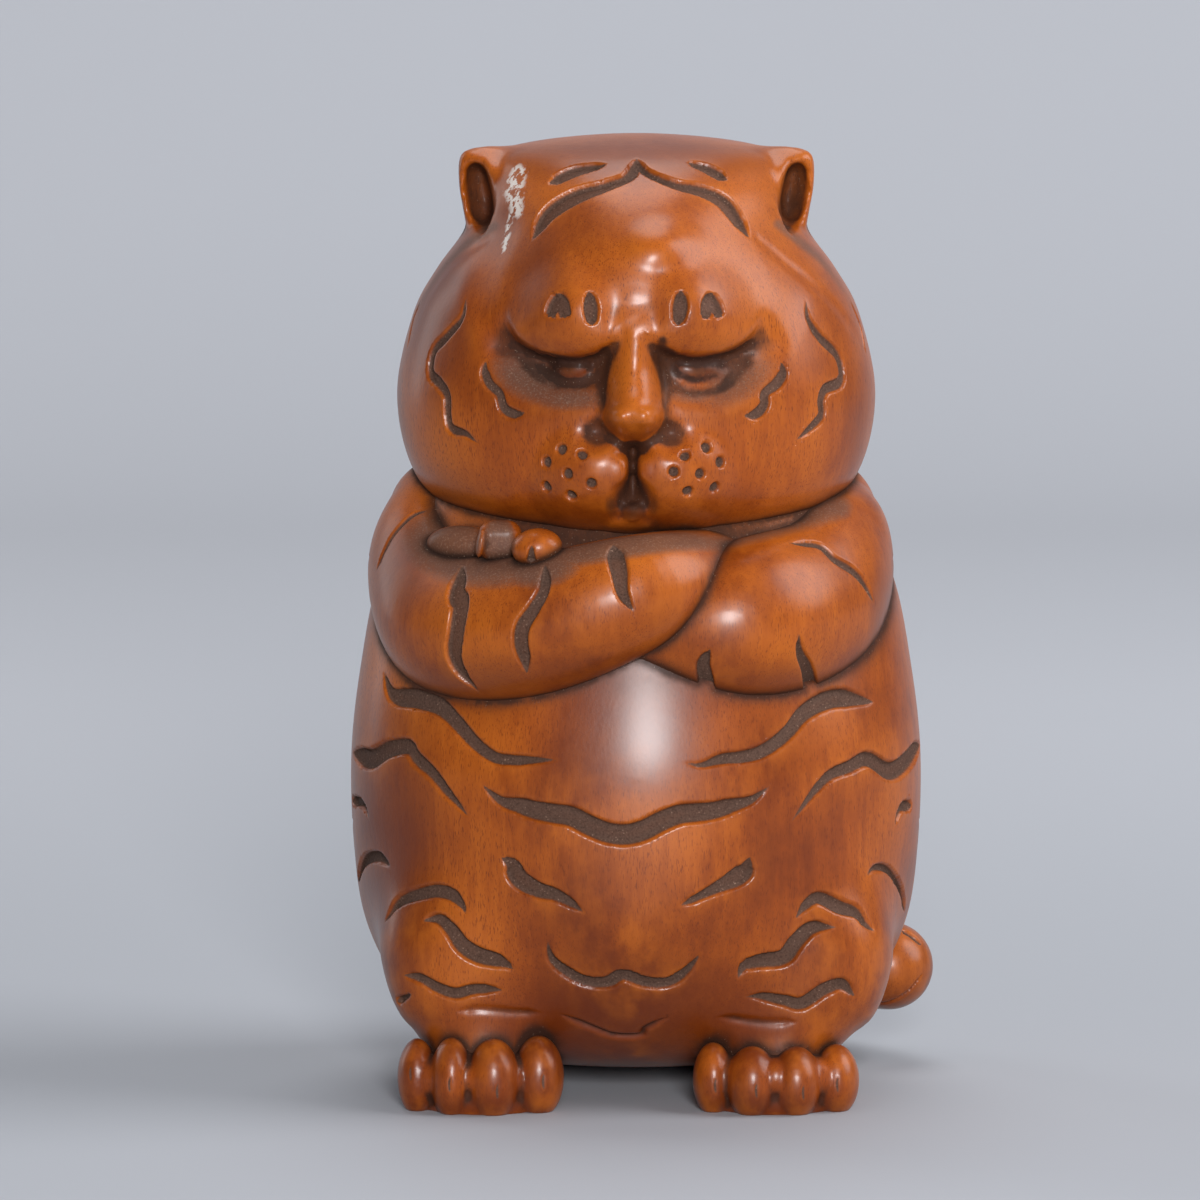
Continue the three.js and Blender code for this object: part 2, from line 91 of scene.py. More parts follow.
@dataclass(frozen=True)
class Cut:
    """One stroke of the carver's gouge, drawn in a view and in that view's units.

    Args:
        points: the stroke's middle line.
        width: full widths along the stroke.
        depth: how deep it goes, in millimetres.
        kind: the shape of its section.
        taper: the share of its length over which each end narrows.
    """

    points: Points
    width: tuple[float, ...]
    depth: float = 0.5
    kind: Carve = Carve.GOUGE
    taper: float = 0.16

    def mirrored(self) -> "Cut":
        """Gives the same stroke on the other side of the view's middle."""
        points = tuple((-across, rise) for across, rise in self.points)
        return Cut(points, self.width, self.depth, self.kind, self.taper)


def add_object(name: str, data: bpy.types.ID) -> bpy.types.Object:
    """Puts a mesh, a lamp or a camera into the scene."""
    item = bpy.data.objects.new(name, data)
    bpy.context.scene.collection.objects.link(item)
    return item


def ramp(values: np.ndarray, start: float, end: float) -> np.ndarray:
    """Rises smoothly from 0 at start to 1 at end."""
    share = np.clip((values - start) / (end - start), 0, 1)
    return share * share * (3 - 2 * share)


def spline(points: np.ndarray, share: np.ndarray) -> np.ndarray:
    """Samples a smooth curve that passes through points at even steps.

    Args:
        points: the points, one row each.
        share: places along the curve, 0 at its first point and 1 at its last.

    Returns:
        The curve's points, one row for each share.
    """
    points = np.asarray(points, dtype=float)
    share = np.asarray(share, dtype=float)
    if len(points) == 1:
        return np.repeat(points, len(share), axis=0)
    padded = np.vstack([2 * points[0] - points[1], points, 2 * points[-1] - points[-2]])
    place = np.clip(share, 0, 1) * (len(points) - 1)
    index = np.minimum(place.astype(int), len(points) - 2)
    step = (place - index)[:, None]
    before, start, end, after = (padded[index + offset] for offset in range(4))
    return 0.5 * (
        2 * start
        + (end - before) * step
        + (2 * before - 5 * start + 4 * end - after) * step**2
        + (3 * start - before - 3 * end + after) * step**3
    )


def shaped_sphere(
    around: int, up: int, place: Callable[[np.ndarray, np.ndarray], np.ndarray]
) -> bmesh.types.BMesh:
    """Makes a sphere and carries each of its vertices to a new place.

    Args:
        around: facets round the axis.
        up: facets from pole to pole.
        place: gives points for arrays of shares from pole to pole and angles round the axis.

    Returns:
        A closed bmesh with its faces outwards.
    """
    form = bmesh.new()
    bmesh.ops.create_uvsphere(form, u_segments=around, v_segments=up, radius=1)
    unit = np.array([vertex.co for vertex in form.verts])
    share = np.arccos(np.clip(-unit[:, 2], -1, 1)) / math.pi
    spots = place(share, np.arctan2(unit[:, 1], unit[:, 0]))
    for vertex, spot in zip(form.verts, spots.tolist()):
        vertex.co = spot
    bmesh.ops.recalc_face_normals(form, faces=form.faces)
    return form


@dataclass(frozen=True)
class Stack:
    """A rounded form stacked from rings along Z.

    Args:
        rings: (height, half width, front, back) as shares of the sizes below, pole to pole.
        base: height of the lower pole.
        height: height of the form.
        width: full width.
        front: depth in front of the axis.
        back: depth behind it.
    """

    rings: tuple[tuple[float, float, float, float], ...]
    base: float
    height: float
    width: float
    front: float
    back: float

    def sized(self) -> np.ndarray:
        """Gives the rings in millimetres, with each pole's neighbour mirrored beyond the pole."""
        scale = np.array([self.height, self.width / 2, self.front, self.back])
        rings = np.array(self.rings) * scale + np.array([self.base, 0, 0, 0])
        mirrored = [(z, -half, -back, -front) for z, half, front, back in rings[[1, -2]]]
        return np.vstack([mirrored[0], rings, mirrored[1]])

    def place(self, share: np.ndarray, angle: np.ndarray) -> np.ndarray:
        """Gives the skin's points.

        Args:
            share: shares of the way up the rings.
            angle: angles round the axis, counted from +X.

        Returns:
            One point for each pair.
        """
        rings = self.sized()
        spans = len(rings) - 1
        height, half, front, back = spline(rings, (1 + share * (spans - 2)) / spans).T
        across = half * np.cos(angle)
        deep = (back - front) / 2 + (back + front) / 2 * np.sin(angle)
        return np.stack([across, deep, height], axis=1)

    def at(self, degrees: float, height: float, lift: float = 0) -> Vector:
        """Finds the skin's point at a real height.

        Args:
            degrees: angle round the axis.
            height: height in millimetres.
            lift: how far outwards the point is pushed.

        Returns:
            The point.
        """
        share = np.linspace(0, 1, 400)
        heights = self.place(share, np.zeros_like(share))[:, 2]
        found = np.interp(height, heights, share)
        angle = math.radians(degrees)
        spot = Vector(self.place(np.array([found]), np.array([angle]))[0])
        return spot + Vector((math.cos(angle), math.sin(angle), 0)) * lift

    def front_at(self, across: float, height: float, lift: float = 0) -> Vector:
        """Finds the front skin's point at a real distance from the middle and a real height."""
        half = self.at(0, height).x
        return self.at(-math.degrees(math.acos(across / half)), height, lift)

    def build(self, around: int, up: int) -> bmesh.types.BMesh:
        """Makes the form's mesh."""
        return shaped_sphere(around, up, self.place)


@dataclass(frozen=True)
class Limb:
    """A rounded limb along a curve.

    Args:
        stops: (point, half thickness outwards, half thickness upwards) along the middle line.
        upright: the direction that counts as up across the limb.
        cap: the share of the length that each rounded end takes.
    """

    stops: tuple[tuple[Vector, float, float], ...]
    upright: tuple[float, float, float] = (0, 0, 1)
    cap: float = 0.2

    def place(self, share: np.ndarray, angle: np.ndarray) -> np.ndarray:
        """Gives the skin's points.

        Args:
            share: shares of the way along the middle line.
            angle: angles round it.

        Returns:
            One point for each pair.
        """
        line = np.array([stop[0] for stop in self.stops])
        girth = np.array([stop[1:] for stop in self.stops])
        run = np.clip((share - self.cap) / (1 - 2 * self.cap), 0, 1)
        past = np.clip(np.maximum(self.cap - share, share - 1 + self.cap), 0, None)
        past = past / self.cap * math.pi / 2
        nudge = 0.002
        ahead = spline(line, np.minimum(run + nudge, 1)) - spline(line, np.maximum(run - nudge, 0))
        forwards = ahead / np.linalg.norm(ahead, axis=1, keepdims=True)
        outwards = np.cross(forwards, np.array(self.upright, dtype=float))
        outwards /= np.linalg.norm(outwards, axis=1, keepdims=True)
        upwards = np.cross(forwards, outwards)
        size = spline(girth, run)
        beyond = (np.sign(share - 0.5) * np.sin(past) * size[:, 0])[:, None]
        return (
            spline(line, run)
            + forwards * beyond
            + outwards * (size[:, 0] * np.cos(past) * np.cos(angle))[:, None]
            + upwards * (size[:, 1] * np.cos(past) * np.sin(angle))[:, None]
        )

    def build(self, around: int = 48, up: int = 72) -> bmesh.types.BMesh:
        """Makes the limb's mesh."""
        return shaped_sphere(around, up, self.place)


def egg(
    size: Sequence[float], centre: Sequence[float], lean: float = 0, turn: float = 0
) -> bmesh.types.BMesh:
    """Makes an egg.

    Args:
        size: full sizes along X, Y and Z.
        centre: its middle.
        lean: turn about Y in degrees.
        turn: turn about Z in degrees.

    Returns:
        A closed bmesh.
    """
    form = bmesh.new()
    bmesh.ops.create_uvsphere(form, u_segments=36, v_segments=24, radius=0.5)
    turned = Euler((0, math.radians(lean), math.radians(turn))).to_matrix().to_4x4()
    matrix = Matrix.Translation(Vector(centre)) @ turned @ Matrix.Diagonal(Vector((*size, 1)))
    bmesh.ops.transform(form, matrix=matrix, verts=form.verts)
    return form


def hull(balls: Sequence[Ball], side: int = 1) -> bmesh.types.BMesh:
    """Wraps a tight skin round small balls.

    Args:
        balls: centres and radii as (x, y, z, radius).
        side: -1 to mirror them across the figure's middle.

    Returns:
        A closed bmesh.
    """
    form = bmesh.new()
    for x, y, z, radius in balls:
        matrix = Matrix.Translation((x * side, y, z))
        bmesh.ops.create_icosphere(form, subdivisions=3, radius=radius, matrix=matrix)
    inner = list(form.faces)
    wrapped = bmesh.ops.convex_hull(form, input=form.verts, use_existing_faces=False)
    skin = {item for item in wrapped["geom"] if isinstance(item, bmesh.types.BMFace)}
    covered = [face for face in inner if face.is_valid and face not in skin]
    bmesh.ops.delete(form, geom=covered, context="FACES")
    loose = [vertex for vertex in form.verts if not vertex.link_faces]
    bmesh.ops.delete(form, geom=loose, context="VERTS")
    bmesh.ops.recalc_face_normals(form, faces=form.faces)
    return form


@dataclass(frozen=True)
class Picture:
    """The photograph's view of the figure: columns and rows of a square picture, and a long lens.

    Args:
        side: the picture's width and height in pixels.
        scale: pixels to a millimetre at the figure's axis.
        distance: from the camera to the axis, in millimetres.
        elevation: degrees above the horizon.
        axis_column: the column of the figure's upright axis.
        floor_row: the row of the ground under the axis.
    """

    side: float = 1200
    scale: float = 11.9
    distance: float = 600
    elevation: float = 6
    axis_column: float = 636
    floor_row: float = 1083

    @property
    def unit(self) -> float:
        """Millimetres to one of the view's units."""
        return 1 / self.scale

    def axes(self) -> tuple[Vector, Vector, Vector]:
        """Gives the view's right, up and backward directions."""
        angle = math.radians(self.elevation)
        up = Vector((0, math.sin(angle), math.cos(angle)))
        return Vector((1, 0, 0)), up, Vector((0, -math.cos(angle), math.sin(angle)))

    def eye(self) -> Vector:
        """Gives the camera's place."""
        rise = (self.floor_row - self.side / 2) / self.scale / math.cos(math.radians(self.elevation))
        across = (self.side / 2 - self.axis_column) / self.scale
        return Vector((across, 0, rise)) + self.axes()[2] * self.distance

    def ray(self, column: float, row: float) -> tuple[Vector, Vector]:
        """Gives the line of sight through a pixel.

        Args:
            column: pixels from the left.
            row: pixels from the top.

        Returns:
            The eye and a unit direction.
        """
        right, up, back = self.axes()
        focal = self.scale * self.distance
        across = (column - self.side / 2) / focal
        rise = (self.side / 2 - row) / focal
        return self.eye(), (right * across + up * rise - back).normalized()

    def pixels(self, points: np.ndarray) -> tuple[np.ndarray, np.ndarray]:
        """Projects points onto the picture.

        Args:
            points: places in millimetres, one row each.

        Returns:
            The columns and the rows at which they are seen.
        """
        right, up, back = (np.array(axis) for axis in self.axes())
        offset = points - np.array(self.eye())
        deep = -offset @ back
        focal = self.scale * self.distance
        return self.side / 2 + offset @ right / deep * focal, self.side / 2 - offset @ up / deep * focal

    def towards(self, points: np.ndarray) -> np.ndarray:
        """Gives the unit directions from points to the camera."""
        sight = np.array(self.eye()) - points
        return sight / np.linalg.norm(sight, axis=1, keepdims=True)

    def spot(self, column: float, row: float, deep: float) -> Vector:
        """Gives the point seen at a pixel in the upright plane at that Y."""
        eye, sight = self.ray(column, row)
        return eye + sight * ((deep - eye.y) / sight.y)


@dataclass(frozen=True)
class Side:
    """A square-on view of the figure, in millimetres across and up from the foot of its axis.

    Its lines of sight start at DISTANCE in front of the figure.

    Args:
        azimuth: 0 looks along +Y, 90 along -X and 180 along -Y.
        elevation: degrees above the horizon, 90 for straight down.
        unit: millimetres to one of the view's units.
    """

    DISTANCE = 200

    azimuth: float
    elevation: float = 0
    unit: float = 1

    def ray(self, across: float, rise: float) -> tuple[Vector, Vector]:
        """Gives the line of sight through a place.

        Args:
            across: millimetres to the right of the axis.
            rise: millimetres above the ground.

        Returns:
            Its start and a unit direction.
        """
        turn, tilt = math.radians(self.azimuth), math.radians(self.elevation)
        right = Vector((math.cos(turn), math.sin(turn), 0))
        flat = Vector((math.sin(turn), -math.cos(turn), 0))
        back = flat * math.cos(tilt) + Vector((0, 0, math.sin(tilt)))
        return right * across + back.cross(right) * rise + back * self.DISTANCE, -back


PICTURE = Picture()
View = Picture | Side


@dataclass(frozen=True)
class Swell:
    """A rounded swelling or hollow, drawn in the photograph's pixels.

    Args:
        centre: its middle.
        radii: how far it reaches across and down.
        height: millimetres towards the viewer, or away below zero.
        turn: degrees clockwise.
        edge: how it ends: 0.5 like a ball, 1 with a crease, 2 softly.
        upward: how far it reaches above its middle, where it ends more softly there.
    """

    centre: tuple[float, float]
    radii: tuple[float, float]
    height: float
    turn: float = 0
    edge: float = 2
    upward: float | None = None

    def inside(self, across: np.ndarray, down: np.ndarray) -> np.ndarray:
        """Says how far inside the swelling pixels lie.

        Args:
            across: their columns.
            down: their rows.

        Returns:
            1 at the middle, 0 at the edge and beyond.
        """
        angle = math.radians(self.turn)
        over, under = across - self.centre[0], down - self.centre[1]
        along = (over * math.cos(angle) + under * math.sin(angle)) / self.radii[0]
        aside = under * math.cos(angle) - over * math.sin(angle)
        aside = aside / np.where(aside < 0, self.upward or self.radii[1], self.radii[1])
        return np.clip(1 - along**2 - aside**2, 0, 1)

    def rise(self, across: np.ndarray, down: np.ndarray) -> np.ndarray:
        """Gives the swelling's height at pixels.

        Args:
            across: their columns.
            down: their rows.

        Returns:
            Heights in millimetres.
        """
        share = self.inside(across, down)
        if self.upward is None:
            return self.height * share**self.edge
        upper = ramp((self.centre[1] - down) / self.radii[1], -0.55, 0.3)
        return self.height * share ** (self.edge + (2 - self.edge) * upper)


@dataclass(frozen=True)
class Fold:
    """A raised or sunken line, drawn in the photograph's pixels.

    Args:
        points: its middle line.
        width: its full widths along the line.
        height: millimetres towards the viewer along the line.
        edge: how its sides end, as in Swell.
    """

    points: Points
    width: tuple[float, ...]
    height: tuple[float, ...]
    edge: float = 2

    def rise(self, across: np.ndarray, down: np.ndarray) -> np.ndarray:
        """Gives the line's height at pixels.

        Args:
            across: their columns.
            down: their rows.

        Returns:
            Heights in millimetres.
        """
        share = np.linspace(0, 1, 8 * len(self.points))
        line = spline(np.array(self.points), share)
        width = spline(np.array(self.width)[:, None], share)[:, 0]
        height = spline(np.array(self.height)[:, None], share)[:, 0]
        gone = np.full(across.shape, 9.0)
        tall = np.zeros(across.shape)
        for start, end, half, top in zip(line[:-1], line[1:], width / 2, height):
            step = end - start
            length = max(float(step @ step), 1e-9)
            run = np.clip(((across - start[0]) * step[0] + (down - start[1]) * step[1]) / length, 0, 1)
            away = np.hypot(across - start[0] - run * step[0], down - start[1] - run * step[1]) / half
            tall = np.where(away < gone, top, tall)
            gone = np.minimum(away, gone)
        return tall * np.clip(1 - gone**2, 0, 1) ** self.edge


# A colour mark and its places: rough patches, darker wood, painted shade or painted glints.
StainAndShade = tuple[Mark, tuple[Swell | Fold, ...]]


def blots(*rows: tuple[float, float, float, float, float], edge: float = 1) -> tuple[Swell, ...]:
    """Makes swellings that only colour the skin, with rough patches, darker wood and painted shade.

    Args:
        rows: (column, row, reach across, reach down, strength) of each.
        edge: how they end, as in Swell.

    Returns:
        The swellings.
    """
    return tuple(Swell((x, y), (wide, tall), strength, edge=edge) for x, y, wide, tall, strength in rows)


class Strokes:
    """Cuts laid on a skin, as close samples with their widths and depths.

    Lengths are millimetres. FAR stands for no stroke in reach, which is REACH half widths and a bit. WALL
    says how far inside a gouge's edge its wall starts and ends. A gouge whose half width is under WHOLE
    isn't cut to its whole depth, and SOFTNESS shapes a valley. The ends narrow and rise as the last three
    say.
    """

    STEP = 0.12
    FAR = 1e3
    REACH = 2.2
    WALL = (-0.12, 0.13)
    WHOLE = 0.25
    SOFTNESS = 2.2
    END_ROUNDNESS = 0.6
    END_WIDTH = 0.12
    END_DEPTH = 0.4

    def __init__(self) -> None:
        """Starts with no strokes."""
        self.places: list[Vector] = []
        self.halves: list[float] = []
        self.depths: list[float] = []
        self.kinds: list[Carve] = []

    def lay(self, tree: BVHTree, view: View, cut: Cut) -> None:
        """Adds one cut.

        Args:
            tree: the skin that it is laid on.
            view: the view that it was drawn in.
            cut: the cut.
        """
        coarse = spline(np.array(cut.points), np.linspace(0, 1, len(cut.points) * 8))
        hits = [tree.ray_cast(*view.ray(*place))[0] for place in coarse]
        line = np.array([hit for hit in hits if hit is not None])
        if not len(line):
            LOG.warning("a cut at %s misses its skin", cut.points[0])
            return
        run = np.concatenate([[0], np.cumsum(np.linalg.norm(np.diff(line, axis=0), axis=1))])
        widths = np.array(cut.width)[:, None]
        for share in np.linspace(0, 1, max(2, int(run[-1] / self.STEP))):
            spot = Vector([float(np.interp(share * run[-1], run, column)) for column in line.T])
            from_end = min(share, 1 - share) / cut.taper if cut.taper else 1.0
            narrow = min(1.0, from_end) ** self.END_ROUNDNESS
            half = float(spline(widths, np.array([share]))[0, 0]) / 2 * view.unit
            self.places.append(spot)
            self.halves.append(half * max(narrow, self.END_WIDTH))
            self.depths.append(cut.depth * max(narrow, self.END_DEPTH))
            self.kinds.append(cut.kind)

    def nearest(self, points: np.ndarray) -> tuple[np.ndarray, np.ndarray]:
        """Finds the stroke sample nearest to each point.

        Args:
            points: places in millimetres, one row each.

        Returns:
            How far each point lies from its sample, and the sample's number.
        """
        search = kdtree.KDTree(len(self.places))
        for index, spot in enumerate(self.places):
            search.insert(spot, index)
        search.balance()
        gap = np.full(len(points), self.FAR)
        owner = np.zeros(len(points), dtype=int)
        reach = max(self.halves) * self.REACH + 1
        cloud = np.array(self.places)
        close = np.all((points > cloud.min(0) - reach) & (points < cloud.max(0) + reach), axis=1)
        for index in np.flatnonzero(close):
            _, owner[index], gap[index] = search.find(points[index])
        return gap, owner

    def section(self, points: np.ndarray) -> tuple[np.ndarray, np.ndarray]:
        """Works out the cut at each point.

        Args:
            points: the skin's vertices.

        Returns:
            Depths, and how far each point lies inside a gouge's edge, all in millimetres.
        """
        gap, owner = self.nearest(points)
        half = np.array(self.halves)[owner]
        deep = np.array(self.depths)[owner]
        gouge = np.array([kind is Carve.GOUGE for kind in self.kinds])[owner]
        wall = ramp(half - gap, *self.WALL) * np.minimum(1, half / self.WHOLE)
        soft = np.exp(-self.SOFTNESS * (gap / half) ** 2)
        depth = deep * np.where(gouge, wall, soft)
        return depth, np.where(gouge, half - gap, -self.FAR)


class Skin:
    """One closed carved surface in the making, in millimetres.

    FACING holds the cosines between which the skin turns from edge-on to facing. SMOOTH and REGROW are the
    pulls of each smoothing and of the pass that gives the volume back. The last five say over how many
    passes the fine and the wide shape are judged, and how deep or high, in millimetres, a form is to count
    in full.
    """

    FACING = (0.02, 0.3)
    SMOOTH = 0.5
    REGROW = -0.48
    SPLITS = 3
    FINE_PASSES = 8
    WIDE_PASSES = 80
    FINE_RELIEF = 0.06
    WIDE_HOLLOW = 0.3
    WIDE_BULGE = 0.35

    def __init__(self, name: str) -> None:
        """Starts an empty skin of that name."""
        self.name = name
        self.mesh = bpy.data.meshes.new(name)
        self.marks: dict[Mark, np.ndarray] = {}
        self.search: BVHTree | None = None

    def fuse(
        self,
        add: Iterable[bmesh.types.BMesh],
        voxel: float,
        cut: Sequence[bmesh.types.BMesh] = (),
    ) -> None:
        """Joins closed forms into one skin.

        Args:
            add: forms that are joined.
            voxel: the grid that the skin is rebuilt on, in millimetres.
            cut: forms that are taken away.
        """
        body = add_object("body", self._gather(add))
        self._remesher(body, voxel)
        tools = add_object("tools", self._gather(cut)) if cut else None
        if tools:
            hollow = body.modifiers.new("hollow", "BOOLEAN")
            hollow.operation, hollow.solver, hollow.object = "DIFFERENCE", "EXACT", tools
            self._remesher(body, voxel)
        self._take(body)
        if tools:
            bpy.data.objects.remove(tools)
        self._keep_largest()

    def even(self, voxel: float) -> None:
        """Rebuilds the skin on an even grid."""
        body = add_object("body", self.mesh)
        self._remesher(body, voxel)
        self._take(body)
        self._keep_largest()

    @staticmethod
    def _gather(forms: Iterable[bmesh.types.BMesh]) -> bpy.types.Mesh:
        """Puts several forms into one mesh.

        Args:
            forms: the forms, which are freed.

        Returns:
            The mesh.
        """
        whole = bmesh.new()
        for form in forms:
            part = bpy.data.meshes.new("part")
            form.to_mesh(part)
            form.free()
            whole.from_mesh(part)
            bpy.data.meshes.remove(part)
        mesh = bpy.data.meshes.new("gathered")
        whole.to_mesh(mesh)
        whole.free()
        return mesh

    @staticmethod
    def _remesher(helper: bpy.types.Object, voxel: float) -> None:
        """Adds a voxel remesh to a helper."""
        grid = helper.modifiers.new("grid", "REMESH")
        grid.mode, grid.voxel_size = "VOXEL", voxel

    def _take(self, helper: bpy.types.Object) -> None:
        """Takes a helper's finished mesh for the skin.

        Args:
            helper: the helper, which is removed.
        """
        graph = bpy.context.evaluated_depsgraph_get()
        self.mesh = bpy.data.meshes.new_from_object(helper.evaluated_get(graph))
        self.marks = {}
        self.search = None
        bpy.data.objects.remove(helper)

    def _keep_largest(self) -> None:
        """Drops loose shells that the joining leaves inside the skin."""
        work = bmesh.new()
        work.from_mesh(self.mesh)
        seen: set[int] = set()
        shells: list[list[bmesh.types.BMVert]] = []
        for seed in work.verts:
            if seed.index in seen:
                continue
            seen.add(seed.index)
            shell, queue = [], [seed]
            while queue:
                vertex = queue.pop()
                shell.append(vertex)
                for edge in vertex.link_edges:
                    other = edge.other_vert(vertex)
                    if other.index not in seen:
                        seen.add(other.index)
                        queue.append(other)
            shells.append(shell)
        shells.sort(key=len)
        loose = [vertex for shell in shells[:-1] for vertex in shell]
        if loose:
            bmesh.ops.delete(work, geom=loose, context="VERTS")
            work.to_mesh(self.mesh)
        work.free()

    def points(self) -> np.ndarray:
        """Gives the vertices' places, one row each."""
        flat = np.empty(len(self.mesh.vertices) * 3, dtype=np.float32)
        self.mesh.vertices.foreach_get("co", flat)
        return flat.reshape(-1, 3).astype(float)

    def normals(self) -> np.ndarray:
        """Gives the vertices' outward directions."""
        flat = np.empty(len(self.mesh.vertices) * 3, dtype=np.float32)
        self.mesh.vertex_normals.foreach_get("vector", flat)
        return flat.reshape(-1, 3).astype(float)

    def move(self, points: np.ndarray) -> None:
        """Puts the vertices at new places."""
        self.mesh.vertices.foreach_set("co", points.astype(np.float32).ravel())
        self.mesh.update()
        self.search = None

    def tree(self) -> BVHTree:
        """Gives a search tree of the skin as it is now."""
        if self.search is None:
            form = bmesh.new()
            form.from_mesh(self.mesh)
            self.search = BVHTree.FromBMesh(form)
            form.free()
        return self.search

    def spread(self, values: np.ndarray, times: int, pull: float | np.ndarray = SMOOTH) -> np.ndarray:
        """Evens values out over neighbouring vertices.

        Args:
            values: one row for each vertex.
            times: how many passes.
            pull: how far each pass goes towards the neighbours' mean, or away from it below zero.

        Returns:
            The evened values, with the shape that they came in.
        """
        ends = np.empty(len(self.mesh.edges) * 2, dtype=np.int32)
        self.mesh.edges.foreach_get("vertices", ends)
        first, second = ends[0::2], ends[1::2]
        count = len(self.mesh.vertices)
        neighbours = np.bincount(first, minlength=count) + np.bincount(second, minlength=count)
        shape = values.shape
        values = values.reshape(count, -1).astype(float)
        pull = np.reshape(pull, (-1, 1)) if isinstance(pull, np.ndarray) else pull
        for _ in range(times):
            mean = np.stack([
                np.bincount(first, column[second], count) + np.bincount(second, column[first], count)
                for column in values.T
            ], axis=1) / np.maximum(neighbours, 1)[:, None]
            values = values + (mean - values) * pull
        return values.reshape(shape)

    def relax(self, times: int) -> None:
        """Smooths the skin that many times, and keeps its volume."""
        points = self.points()
        for _ in range(times):
            points = self.spread(self.spread(points, 1), 1, self.REGROW)
        self.move(points)

    def soften(self, spots: Sequence[tuple[Vector, float]], times: int) -> None:
        """Blends the skin's creases round some places.

        Args:
            spots: middles and radii in millimetres.
            times: how many rounds of smoothing.
        """
        points = self.points()
        pull = np.zeros(len(points))
        for centre, radius in spots:
            gone = np.linalg.norm(points - np.array(centre), axis=1) / radius
            pull = np.maximum(pull, 0.6 * ramp(1 - gone, 0, 0.5))
        self.move(self.spread(points, times, pull))

    def flatten(self) -> None:
        """Flattens whatever reaches below the ground."""
        points = self.points()
        points[:, 2] = np.maximum(points[:, 2], 0)
        self.move(points)

    def facing(self, points: np.ndarray) -> np.ndarray:
        """Gives 1 where the skin faces the photograph's viewer and 0 where it turns away."""
        return ramp(np.sum(self.normals() * PICTURE.towards(points), axis=1), *self.FACING)

    def sculpt(self, relief: Callable[[np.ndarray, np.ndarray], np.ndarray]) -> None:
        """Slides the skin along the photograph's lines of sight, so that forms stay at their pixels.

        Args:
            relief: gives heights in millimetres for arrays of columns and rows.
        """
        points = self.points()
        rise = relief(*PICTURE.pixels(points)) * self.facing(points)
        self.move(points + PICTURE.towards(points) * rise[:, None])

    def trace(self, drawings: Sequence[tuple[View, Sequence[Cut]]]) -> Strokes:
        """Lays drawn cuts on the skin along each view's lines of sight.

        Args:
            drawings: views and the cuts that were drawn in them.

        Returns:
            The strokes as samples on the skin.
        """
        tree = self.tree()
        strokes = Strokes()
        for view, cuts in drawings:
            for cut in cuts:
                strokes.lay(tree, view, cut)
        return strokes

    def refine(self, strokes: Strokes, finest: float, margin: float = 0.36) -> None:
        """Splits the skin's edges near strokes.

        Args:
            strokes: where fine edges are needed.
            finest: the edge length that is fine enough.
            margin: how far beyond a stroke's edge the fine mesh reaches.
        """
        work = bmesh.new()
        work.from_mesh(self.mesh)
        bmesh.ops.triangulate(work, faces=work.faces)
        halves = np.array(strokes.halves)
        for _ in range(self.SPLITS):
            work.verts.index_update()
            gap, owner = strokes.nearest(np.array([vertex.co for vertex in work.verts]))
            beyond = gap - halves[owner]
            long = [
                edge for edge in work.edges
                if min(beyond[edge.verts[0].index], beyond[edge.verts[1].index]) < margin
                and edge.calc_length() > finest
            ]
            if not long:
                break
            bmesh.ops.subdivide_edges(work, edges=long, cuts=1)
            bmesh.ops.triangulate(work, faces=[face for face in work.faces if len(face.verts) > 3])
        work.to_mesh(self.mesh)
        work.free()
        self.search = None

    def carve(self, drawings: Sequence[tuple[View, Sequence[Cut]]], finest: float) -> None:
        """Cuts drawn strokes into the skin, and marks them.

        Args:
            drawings: views and the cuts that were drawn in them.
            finest: the edge length near strokes.
        """
        strokes = self.trace(drawings)
        self.refine(strokes, finest)
        points = self.points()
        normals = self.spread(self.normals(), 4)
        depth, inside = strokes.section(points)
        self.move(points - normals * depth[:, None])
        self.mark(Mark.CUT, np.clip(inside, -1, 1))

    def mark(self, mark: Mark, values: np.ndarray) -> None:
        """Keeps the larger of a mark's old and new values at each vertex."""
        old = self.marks.get(mark)
        self.marks[mark] = values if old is None else np.maximum(old, values)

    def stain_and_shade(self, stains_and_shade: Sequence[StainAndShade]) -> None:
        """Marks places that are drawn in the photograph's pixels, with rough patches, darker wood, painted
        shade and painted glints.

        Args:
            stains_and_shade: marks, each with its places.
        """
        points = self.points()
        pixels, facing = PICTURE.pixels(points), self.facing(points)
        for mark, spots in stains_and_shade:
            for spot in spots:
                self.mark(mark, spot.rise(*pixels) * facing)

    def sunk(self, passes: int) -> np.ndarray:
        """Gives how far the skin lies below its own mean over that many passes."""
        points = self.points()
        return np.sum((self.spread(points, passes) - points) * self.normals(), axis=1)

    def mark_shape(self) -> None:
        """Marks hollows, where patina gathers, and high spots, where hands rub."""
        fine = self.sunk(self.FINE_PASSES) / self.FINE_RELIEF
        wide = self.sunk(self.WIDE_PASSES)
        hollow = np.clip(fine, 0, 1) * 0.5 + np.clip(wide / self.WIDE_HOLLOW, 0, 1)
        high = np.clip(-fine, 0, 1) * 0.5 + np.clip(-wide / self.WIDE_BULGE, 0, 1)
        self.mark(Mark.HOLLOW, np.clip(self.spread(hollow, 2), 0, 1))
        self.mark(Mark.HIGH, np.clip(self.spread(high, 2), 0, 1))

